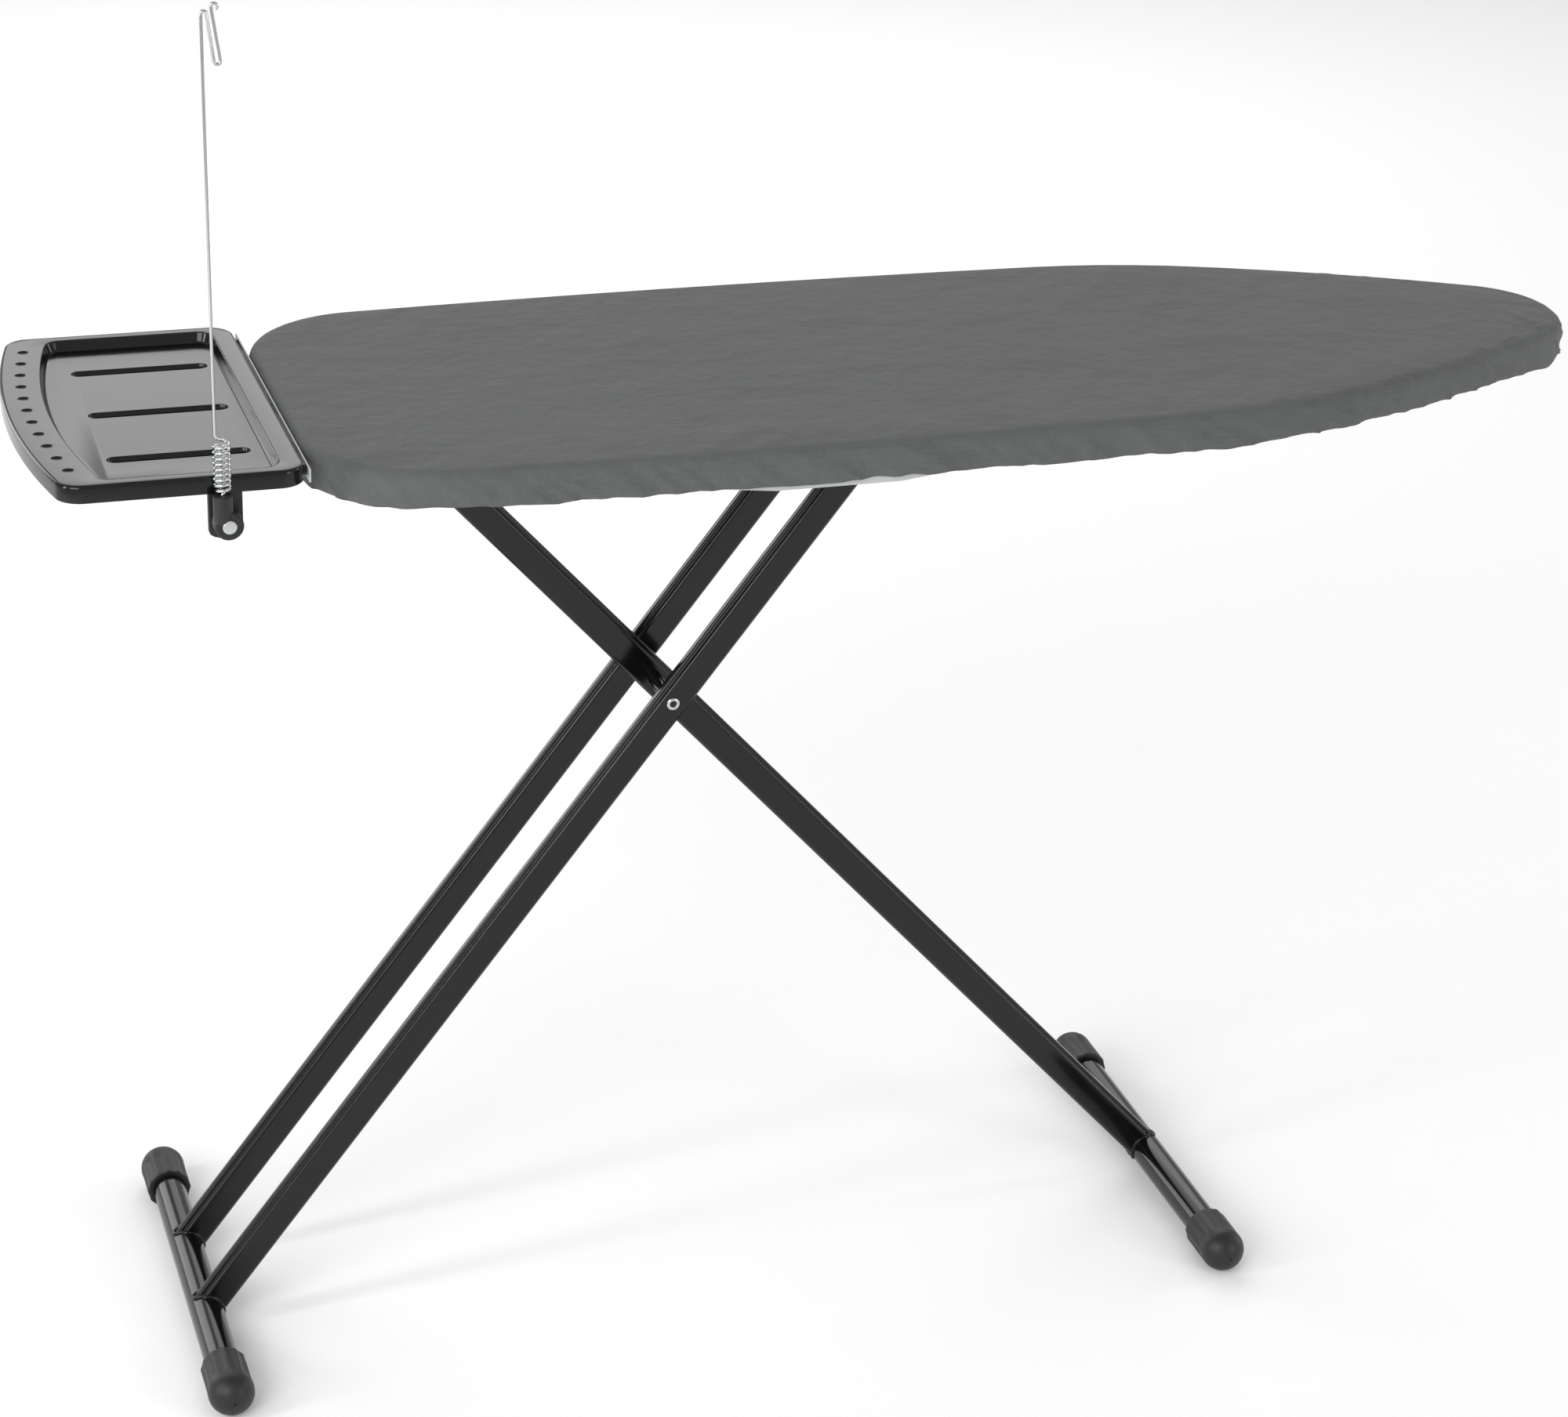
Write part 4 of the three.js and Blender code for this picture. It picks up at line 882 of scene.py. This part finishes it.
# Radius and height above the panel's or border's face, in mm, from the top down.
GROOVE_ABOVE = ((7.9, 0.5), (7.2, -0.5), (6.5, -2.4), (5.2, -3.4))
GROOVE_BELOW = ((8.4, 0.4), (8.0, -1.6), (6.4, -3.5))
DIMPLE_ABOVE = ((5.3, 0.3), (4.5, -0.7), (3.6, -1.5), (2.0, -2))
DIMPLE_BELOW = ((5.8, 0.3), (4.8, -1.2), (3.0, -2))


def pressed_marks(groove, dimple, depth):
    """The grooves and dimples as solids, measured from the sheet's faces lowered by depth."""
    groove = [(radius * MM, PANEL_Z - depth + rise * MM) for radius, rise in groove]
    dimple = [(radius * MM, TRAY_TOP - depth + rise * MM) for radius, rise in dimple]
    grooves = [long_slot(x0, x1, y, groove) for x0, x1, y in groove_places()]
    return gathered(grooves + [bowl(at, dimple, 28) for at in dimple_centres()])


def build_tray():
    bm = close_ends(bent_grid(tray_rings(12)))
    tray = piece("iron_rest", bm, "board", finish("black_coat"), ["tray"])
    combine(tray, pressed_marks(GROOVE_BELOW, DIMPLE_BELOW, TRAY_SHEET), "UNION")
    combine(tray, pressed_marks(GROOVE_ABOVE, DIMPLE_ABOVE, 0), "DIFFERENCE")
    shade(tray, 40)
    add_bevel(tray, 0.45 * MM, 2, 30)
    return tray


class IRONING_OT_iron_rest(bpy.types.Operator):
    """Builds the pressed iron rest and finishes the steel parts that carry it"""

    bl_idname = "ironing.iron_rest"
    bl_label = "Iron rest"

    def execute(self, context):
        build_tray()
        refinish("tray_mount_plate", "grey_coat")
        for side in ("near", "far"):
            refinish(f"tray_arm_{side}", "black_coat")
            refinish(f"tray_rivet_{side}", "black_coat", 0.2 * MM)
            refinish(f"arm_bolt_{side}", "zinc")
        return {"FINISHED"}


# ---------------------------------------------------------------- cord holder

COIL_RADIUS = 6 * MM
COIL_TURNS = 9
COIL_PITCH = 4.6 * MM
WIRE_RADIUS = 1.4 * MM
COIL_FOOT = CORD_PIN + Vector((-4 * MM, 0, 28 * MM))
HOLDER_FRONT = CORD_PIN.y - 6 * MM
HOLDER_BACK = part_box("cord_bracket")[0].y - 0.3 * MM


def wire_path():
    """Tail in the socket, the coil, a straight rod, the folded hook and its closed eye."""
    steps = 26
    path = [COIL_FOOT - Z * 20 * MM, COIL_FOOT - Z * 1.5 * MM]
    for k in range(COIL_TURNS * steps + 1):
        turn = FULL_TURN * k / steps
        radius = COIL_RADIUS * min(1, (k / steps * 12 + 3) / 12)
        around = Vector((math.cos(turn), math.sin(turn), 0)) * radius
        path.append(COIL_FOOT + around + Z * COIL_PITCH * k / steps)
    coil_top = COIL_FOOT + Z * COIL_TURNS * COIL_PITCH
    rod_x = coil_top.x - COIL_RADIUS + 1 * MM
    rod_top = BOARD_TOP + 381 * MM
    path += [
        coil_top + Vector((2, 3.4, 2.4)) * MM,
        Vector((rod_x + 1 * MM, CORD_PIN.y, coil_top.z + 5 * MM)),
        Vector((rod_x, CORD_PIN.y, coil_top.z + 8 * MM)),
        Vector((rod_x, CORD_PIN.y, rod_top - 3 * MM)),
    ]
    bends = [
        (rod_x + 2.2 * MM, rod_top, 2.2 * MM, 1, 0.12, 14),
        (rod_x + 11.5 * MM, rod_top - 37 * MM, 2.6 * MM, -0.95, 0.05, 16),
        (rod_x + 10.2 * MM, rod_top + 5.5 * MM, 2.4 * MM, 1, -0.35, 18),
    ]
    for x, z, radius, start, stop, count in bends:
        for k in range(count + 1):
            angle = math.pi * (start + (stop - start) * k / count)
            path.append(Vector((x + radius * math.cos(angle), CORD_PIN.y, z + radius * math.sin(angle))))
    return path


def build_cord_wire():
    bm = swept(wire_path(), WIRE_RADIUS, 16)
    return piece("cord_holder_wire", bm, "cord_holder", finish("wire"),
                 ["cord_wire"], 60)


def build_cord_arm():
    """A round boss on the pin with an upright socket, moulded in one."""
    pin_room = 7 * MM
    front, back = HOLDER_FRONT - CORD_PIN.y, HOLDER_BACK - CORD_PIN.y
    boss = turned(closed_profile([
        (3.2 * MM, front), (pin_room, front), (10.6 * MM, front), (12 * MM, front + 1.4 * MM),
        (12 * MM, back - 0.8 * MM), (11.2 * MM, back), (3.2 * MM, back)]), CORD_PIN, Y)
    socket_top = COIL_FOOT.z - 2 * MM - CORD_PIN.z
    foot = Vector((COIL_FOOT.x, CORD_PIN.y, CORD_PIN.z))
    bore = WIRE_RADIUS + 0.3 * MM
    socket = turned([
        (0, 2 * MM), (7 * MM, 2 * MM), (8 * MM, 4 * MM), (8 * MM, socket_top - 1.2 * MM),
        (6.8 * MM, socket_top), (bore, socket_top), (bore, socket_top - 18 * MM),
        (0, socket_top - 18 * MM)], foot, Z)
    arm = piece("cord_holder_arm", boss, "cord_holder", finish("plastic"),
                ["cord_arm"])
    combine(arm, socket, "UNION")
    shade(arm, 40)
    add_bevel(arm, 0.5 * MM, 3, 30)
    return arm


def build_cord_pin():
    """Turned steel pin with a slightly domed, bevelled head."""
    low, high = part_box("cord_pin")
    head = CORD_PIN.y - low.y
    face = CORD_PIN.y - HOLDER_FRONT + 0.3 * MM
    tail = high.y - CORD_PIN.y
    profile = [
        (0, tail), (5 * MM, tail), (5 * MM, tail - 1.6 * MM), (2.9 * MM, tail - 1.7 * MM),
        (2.9 * MM, -face), (5.8 * MM, -face), (5.8 * MM, -head + 0.7 * MM),
        (5.2 * MM, -head + 0.15 * MM), (3 * MM, -head), (0, -head)]
    bm = turned(profile, CORD_PIN, Y)
    return piece("cord_holder_pin", bm, "board", finish("zinc"), ["cord_pin"], 30)


class IRONING_OT_cord_holder(bpy.types.Operator):
    """Builds the sprung wire, its arm and pin, and finishes the bracket that holds them"""

    bl_idname = "ironing.cord_holder"
    bl_label = "Cord holder"

    def execute(self, context):
        build_cord_wire()
        build_cord_arm()
        build_cord_pin()
        refinish("cord_bracket", "plastic", 0.6 * MM)
        refinish("cord_bracket_bolt", "zinc")
        return {"FINISHED"}


# ---------------------------------------------------------------- legs and foot bars

LEG_DEPTH = 30.4 * MM
LEG_THICKNESS = 16.5 * MM
RIB_WIDTH = 8.4 * MM
RIB_HEIGHT = 4.1 * MM
LEG_LOW, LEG_HIGH = -LEG_DEPTH / 2, LEG_DEPTH / 2
LEG_SHOULDER = LEG_HIGH - RIB_HEIGHT
LEG_HALF, RIB_HALF = LEG_THICKNESS / 2, RIB_WIDTH / 2
TUBE_WALL = 1.4 * MM
LEG_END = 10 * MM
FOOT_TUBE_RADIUS = 15.5 * MM
INNER_FOOT = middle_of("nose_foot_bar")
OUTER_FOOT = middle_of("tail_foot_bar")
SLIDE_AXLE = middle_of("slide_axle")


class LegLine:
    """Middle line of a leg: its foot, its length, and the directions along it and to its rib."""

    def __init__(self, foot, top, y):
        line = Vector((top.x - foot.x, 0, top.z - foot.z))
        self.foot = Vector((foot.x, y, foot.z))
        self.along = line.normalized()
        self.length = line.length + LEG_END
        lean = math.copysign(1, line.x)
        self.up = Vector((-lean * self.along.z, 0, lean * self.along.x))

    def at(self, distance, rise, across):
        return self.foot + self.along * distance + self.up * rise + Y * across


def leg_corners():
    """Corners of the leg's section as (rise, across) pairs: a box with a narrow rib on top."""
    right = [(LEG_LOW, LEG_HALF), (LEG_SHOULDER, LEG_HALF), (LEG_SHOULDER, RIB_HALF),
             (LEG_HIGH, RIB_HALF)]
    return right + [(rise, -across) for rise, across in reversed(right)]


# Corner of the section as (rise, across), and the radius that its two edges are rounded to.
ROUNDED_EDGES = (
    (LEG_LOW, LEG_HALF, 5.5 * MM),
    (LEG_SHOULDER, LEG_HALF, 2.6 * MM),
    (LEG_HIGH, RIB_HALF, 2.2 * MM),
    (LEG_SHOULDER, RIB_HALF, 1.1 * MM),
)


def long_edges(bm, line, wanted):
    """Edges along the leg at a (rise, |across|) corner of its section."""
    found = []
    for edge in bm.edges:
        a, b = edge.verts
        if abs((a.co - b.co).normalized().dot(line.along)) < 0.999:
            continue
        away = a.co - line.foot
        corner = (away.dot(line.up), abs(away.y))
        if math.dist(corner, wanted) < 0.1 * MM:
            found.append(edge)
    return found


def build_leg(name, node, line, body):
    """A rolled leg: a closed section drawn out to its length, its long edges rounded."""
    bm = bmesh.new()
    start = bm.faces.new([bm.verts.new(line.at(0, *corner)) for corner in leg_corners()])
    drawn = bmesh.ops.extrude_face_region(bm, geom=[start])["geom"]
    tip = [v for v in drawn if isinstance(v, bmesh.types.BMVert)]
    bmesh.ops.translate(bm, verts=tip, vec=line.along * line.length)
    face_outwards(bm)
    for rise, across, radius in ROUNDED_EDGES:
        bevel_edges(bm, long_edges(bm, line, (rise, across)), radius, 6)
    end = max(bm.faces, key=lambda face: (face.calc_center_median() - line.foot).dot(line.along))
    bmesh.ops.inset_region(bm, faces=[end], thickness=TUBE_WALL, use_even_offset=True)
    inward = bmesh.ops.extrude_face_region(bm, geom=[end])["geom"]
    moved = [v for v in inward if isinstance(v, bmesh.types.BMVert)]
    bmesh.ops.translate(bm, verts=moved, vec=-line.along * 60 * MM)
    bmesh.ops.delete(bm, geom=[end], context="FACES_ONLY")
    return piece(name, face_outwards(bm), body, finish("black_coat"), [node], 30)


def section_walk(steps):
    """Evenly spaced (rise, across) points round the leg's section."""
    corners = leg_corners()
    lengths = [math.dist(a, b) for a, b in zip(corners, corners[1:] + corners[:1])]
    total = sum(lengths)
    walk = []
    for k in range(steps):
        left = total * k / steps
        side = 0
        while left > lengths[side]:
            left -= lengths[side]
            side += 1
        a, b = corners[side], corners[(side + 1) % len(corners)]
        share = left / lengths[side]
        walk.append((a[0] + (b[0] - a[0]) * share, a[1] + (b[1] - a[1]) * share))
    return walk


def build_weld(name, line, body, radius):
    """A weld bead where the leg meets its foot bar, uneven as a hand-laid weld is."""
    steps = 84
    walk = section_walk(steps)
    path = []
    for k in range(steps):
        near = [walk[(k + shift) % steps] for shift in (-2, -1, 0, 1, 2)]
        rise = sum(point[0] for point in near) / len(near)
        across = sum(point[1] for point in near) / len(near)
        drop = math.sqrt(max(FOOT_TUBE_RADIUS ** 2 - rise ** 2, (3 * MM) ** 2))
        path.append(line.at(drop, rise, across))
    radii = [1 + 0.28 * noise.noise(Vector((k / 3.1, line.foot.y * 40, 4.2))) for k in range(steps)]
    bm = swept(path, radius, 12, True, radii)
    return piece(name, bm, body, finish("black_coat"))


def build_foot_bar(name, node, body):
    low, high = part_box(node)
    middle = (low + high) / 2
    half = (high.y - low.y) / 2
    bore = FOOT_TUBE_RADIUS - TUBE_WALL
    bm = turned(closed_profile([
        (bore, -half), (FOOT_TUBE_RADIUS, -half), (FOOT_TUBE_RADIUS, half), (bore, half)]),
        middle, Y, 72)
    return piece(name, bm, body, finish("black_coat"), [node])


class IRONING_OT_legs(bpy.types.Operator):
    """Builds the three legs, the foot bars they are welded to, and the pivot"""

    bl_idname = "ironing.legs"
    bl_label = "Legs and foot bars"

    def execute(self, context):
        weld = context.scene.ironing_board.weld_radius
        inner = LegLine(INNER_FOOT, LEG_HINGE, 0)
        build_leg("leg_inner", "inner_leg", inner, "inner_leg_frame")
        build_weld("weld_inner", inner, "inner_leg_frame", weld)
        for side in ("near", "far"):
            line = LegLine(OUTER_FOOT, SLIDE_AXLE, middle_of(f"outer_leg_{side}").y)
            build_leg(f"leg_outer_{side}", f"outer_leg_{side}", line, "outer_leg_frame")
            build_weld(f"weld_outer_{side}", line, "outer_leg_frame", weld)
            refinish(f"pivot_spacer_{side}", "black_coat")
        build_foot_bar("foot_bar_nose", "nose_foot_bar", "inner_leg_frame")
        build_foot_bar("foot_bar_tail", "tail_foot_bar", "outer_leg_frame")
        build_pivot_rivet()
        return {"FINISHED"}


def build_pivot_rivet():
    """Hollow rivet through all three legs, both ends rolled over."""
    low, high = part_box("pivot_rivet")
    reach = high.y
    shank, bore, head = 4 * MM, 2.7 * MM, 5.8 * MM
    face = reach - 1.2 * MM
    half = [(shank, face), (head - 0.3 * MM, face), (head, face + 0.4 * MM),
            (head - 0.5 * MM, reach - 0.25 * MM), (head - 1.4 * MM, reach),
            (bore + 0.7 * MM, reach - 0.15 * MM), (bore, reach - 1.1 * MM)]
    profile = [(radius, -y) for radius, y in reversed(half)] + half
    centre = Vector((CROSSING.x, 0, CROSSING.z))
    bm = turned(closed_profile(profile), centre, Y)
    return piece("pivot_rivet_rolled", bm, "outer_leg_frame", finish("zinc"),
                 ["pivot_rivet"], 45)


# ---------------------------------------------------------------- foot caps

CAP_RADIUS = 21 * MM
CAP_DOME = 20 * MM


def build_foot_cap(name, node, body, flutes):
    """Fluted sleeve with a domed end and the small round mark of its moulding gate."""
    low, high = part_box(node)
    middle = (low + high) / 2
    side = math.copysign(1, middle.y)
    mouth = min(abs(low.y), abs(high.y))
    barrel = high.y - low.y - CAP_DOME
    sides = flutes * 12
    bore = FOOT_TUBE_RADIUS + 0.3 * MM

    def ring(radius, out, depth):
        loop = []
        for k in range(sides):
            angle = FULL_TURN * k / sides - math.pi / 2
            wave = 0.5 - 0.5 * math.cos(flutes * (angle + math.pi / 2))
            r = radius - depth * wave ** 0.7
            loop.append(Vector((middle.x + r * math.cos(angle), side * (mouth + out),
                                middle.z + r * math.sin(angle))))
        return loop

    rings = [ring(bore, barrel - 1 * MM, 0), ring(bore, 0, 0), ring(CAP_RADIUS - 2.6 * MM, 0, 0)]
    for angle in quarter(5):
        lip = 1.8 * MM
        rings.append(ring(CAP_RADIUS - lip * (1 - math.sin(angle)), lip * (1 - math.cos(angle)),
                          0.9 * MM * math.sin(angle)))
    body_rows = 12
    for row in range(1, body_rows + 1):
        share = row / body_rows
        fade = 1 - smooth_step((share - 0.72) / 0.28)
        rings.append(ring(CAP_RADIUS, 1.8 * MM + (barrel - 1.8 * MM) * share, 1.25 * MM * fade))
    for share in (0.14, 0.28, 0.42, 0.56, 0.68, 0.78, 0.86, 0.92, 0.955):
        angle = share * math.pi / 2
        rings.append(ring(CAP_RADIUS * math.cos(angle), barrel + CAP_DOME * math.sin(angle), 0))
    gate = 1.5 * MM
    tip = barrel + CAP_DOME * math.sin(0.955 * math.pi / 2)
    rings.append(ring(gate, tip - 0.1 * MM, 0))
    rings.append(ring(gate - 0.3 * MM, tip - 0.9 * MM, 0))
    bm = close_ends(bent_grid(rings))
    return piece(name, bm, body, finish("plastic"), [node], 50)


class IRONING_OT_foot_caps(bpy.types.Operator):
    """Builds the four fluted caps on the ends of the foot bars"""

    bl_idname = "ironing.foot_caps"
    bl_label = "Foot caps"

    def execute(self, context):
        flutes = context.scene.ironing_board.flutes
        for end, body in (("nose", "inner_leg_frame"), ("tail", "outer_leg_frame")):
            for side in ("near", "far"):
                build_foot_cap(f"cap_{end}_{side}", f"{end}_foot_cap_{side}", body, flutes)
        return {"FINISHED"}


# ---------------------------------------------------------------- deck and the works under it


class IRONING_OT_underside(bpy.types.Operator):
    """Finishes the pressed deck, the slide rails, the hinge and the height release"""

    bl_idname = "ironing.underside"
    bl_label = "Deck and height release"

    def execute(self, context):
        for node in ("deck", "slide_rail_near", "slide_rail_far", "leg_bracket",
                     "release_bracket_inner", "release_bracket_outer"):
            refinish(node, "grey_coat")
        for node in ("leg_hinge_pin", "slide_axle", "release_shaft", "height_rack", "release_arm"):
            refinish(node, "zinc")
        for node in ("slide_glide_near", "slide_glide_far", "release_grip"):
            refinish(node, "plastic", 0.6 * MM)
        build_release_spring()
        return {"FINISHED"}


def build_release_spring():
    """Torsion spring round the release shaft, as one smooth coil."""
    low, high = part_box("release_spring")
    wire = 0.9 * MM
    shaft = middle_of("release_shaft")
    radius = 7.4 * MM
    turns, steps = 4, 24
    start, end = low.y + wire, high.y - wire
    path = [Vector((shaft.x + radius, start, low.z + wire / 2))]
    for k in range(turns * steps + 1):
        turn = FULL_TURN * k / steps
        y = start + (end - start) * k / (turns * steps)
        path.append(Vector((shaft.x + radius * math.cos(turn), y, shaft.z + radius * math.sin(turn))))
    path.append(Vector((shaft.x + radius, end, high.z - wire / 2)))
    return piece("release_torsion_spring", swept(path, wire, 10), "board", finish("zinc"),
                 ["release_spring"], 60)


# ---------------------------------------------------------------- stage

CAMERA_PLACE = Vector((-1.015954, -3.061758, 1.971448))
CAMERA_YAW, CAMERA_PITCH, CAMERA_ROLL = 17.90436, 23.90254, 1.85515  # degrees
CAMERA_LENS, SENSOR_WIDTH = 87.298, 36  # mm
FLOOR_RADIUS = 40
WORLD_STRENGTH = 0.54
# Name, place, target, size and brightness of each light; the world's white is brightness 1.
LIGHTS = (
    ("Key front left", (-2.4, -2.6, 2.1), (0.1, 0, 0.85), (2.0, 2.0), 5.0),
    ("Fill front right", (2.4, -3.0, 1.4), (0.3, 0, 0.85), (1.2, 1.2), 5.5),
    ("Back light", (1.2, 4.6, 2.9), (0, 0, 0.6), (4.0, 1.6), 1.5),
    ("Back light left", (-2.8, 4.2, 1.7), (-0.2, 0, 0.5), (1.8, 2.6), 2.6),
    ("Backdrop light", (0.5, 4.2, 4.2), (0.5, 4.2, 0), (6.0, 3.0), 1.3),
    ("Strip left", (-3.3, -0.7, 1.6), (0, 0, 0.6), (0.35, 2.0), 14.0),
    ("Strip right", (3.4, 0.2, 1.2), (0, 0, 0.6), (0.5, 1.8), 5.0),
)


def camera_turn():
    """Rotation of a camera that looks along +Y turned right by the yaw and down by the pitch."""
    yaw, pitch, roll = (math.radians(a) for a in (CAMERA_YAW, CAMERA_PITCH, CAMERA_ROLL))
    ahead = Vector((math.sin(yaw) * math.cos(pitch), math.cos(yaw) * math.cos(pitch), -math.sin(pitch)))
    right = Vector((math.cos(yaw), -math.sin(yaw), 0))
    up = right.cross(ahead)
    rolled_right = math.cos(roll) * right + math.sin(roll) * up
    rolled_up = math.cos(roll) * up - math.sin(roll) * right
    return Matrix((rolled_right, rolled_up, -ahead)).transposed()


def soft_box(name, place, target, size, radiance):
    """Rectangular light that faces a target; radiance is its brightness, world white being 1."""
    light = bpy.data.lights.new(name, "AREA")
    light.shape = "RECTANGLE"
    light.size, light.size_y = size
    light.energy = radiance * math.pi * size[0] * size[1]
    made = bpy.data.objects.new(name, light)
    made.location = place
    made.rotation_euler = (Vector(target) - Vector(place)).to_track_quat("-Z", "Y").to_euler()
    bpy.context.scene.collection.objects.link(made)
    return made


class IRONING_OT_stage(bpy.types.Operator):
    """Sets up the camera, the pale floor and the soft studio light"""

    bl_idname = "ironing.stage"
    bl_label = "Stage"

    def execute(self, context):
        scene = context.scene
        camera = bpy.data.cameras.new("Camera")
        camera.lens = CAMERA_LENS
        camera.sensor_width = SENSOR_WIDTH
        camera.clip_end = 200
        holder = bpy.data.objects.new("Camera", camera)
        holder.matrix_world = Matrix.Translation(CAMERA_PLACE) @ camera_turn().to_4x4()
        scene.collection.objects.link(holder)
        scene.camera = holder
        floor_bm = bmesh.new()
        bmesh.ops.create_circle(floor_bm, cap_ends=True, segments=96, radius=FLOOR_RADIUS)
        floor = loose_object("floor", floor_bm)
        floor.data.materials.append(studio_paper())
        world = bpy.data.worlds.new("Studio")
        world.use_nodes = True
        sky = world.node_tree.nodes["Background"]
        sky.inputs["Color"].default_value = (1, 1, 1, 1)
        sky.inputs["Strength"].default_value = WORLD_STRENGTH
        scene.world = world
        for light in LIGHTS:
            soft_box(*light)
        scene.view_settings.view_transform = "Standard"
        return {"FINISHED"}


# ---------------------------------------------------------------- panel and registration

OPERATORS = (
    IRONING_OT_stage,
    IRONING_OT_cover,
    IRONING_OT_iron_rest,
    IRONING_OT_cord_holder,
    IRONING_OT_legs,
    IRONING_OT_foot_caps,
    IRONING_OT_underside,
)


class IRONING_PT_panel(bpy.types.Panel):
    """Sizes, colours and the pieces of the ironing board"""

    bl_idname = "IRONING_PT_panel"
    bl_label = "Ironing board"
    bl_space_type = "VIEW_3D"
    bl_region_type = "UI"
    bl_category = "Ironing board"

    def draw(self, context):
        settings = context.scene.ironing_board
        for name in IroningBoardSettings.__annotations__:
            self.layout.prop(settings, name)
        for operator in OPERATORS:
            self.layout.operator(operator.bl_idname)


CLASSES = (IroningBoardSettings, *OPERATORS, IRONING_PT_panel)


def register():
    for made in CLASSES:
        bpy.utils.register_class(made)
    bpy.types.Scene.ironing_board = PointerProperty(type=IroningBoardSettings)


def unregister():
    del bpy.types.Scene.ironing_board
    for made in reversed(CLASSES):
        bpy.utils.unregister_class(made)


def main():
    register()
    bpy.ops.ironing.stage()
    bpy.ops.ironing.cover()
    bpy.ops.ironing.iron_rest()
    bpy.ops.ironing.cord_holder()
    bpy.ops.ironing.legs()
    bpy.ops.ironing.foot_caps()
    bpy.ops.ironing.underside()


if __name__ == "__main__":
    main()
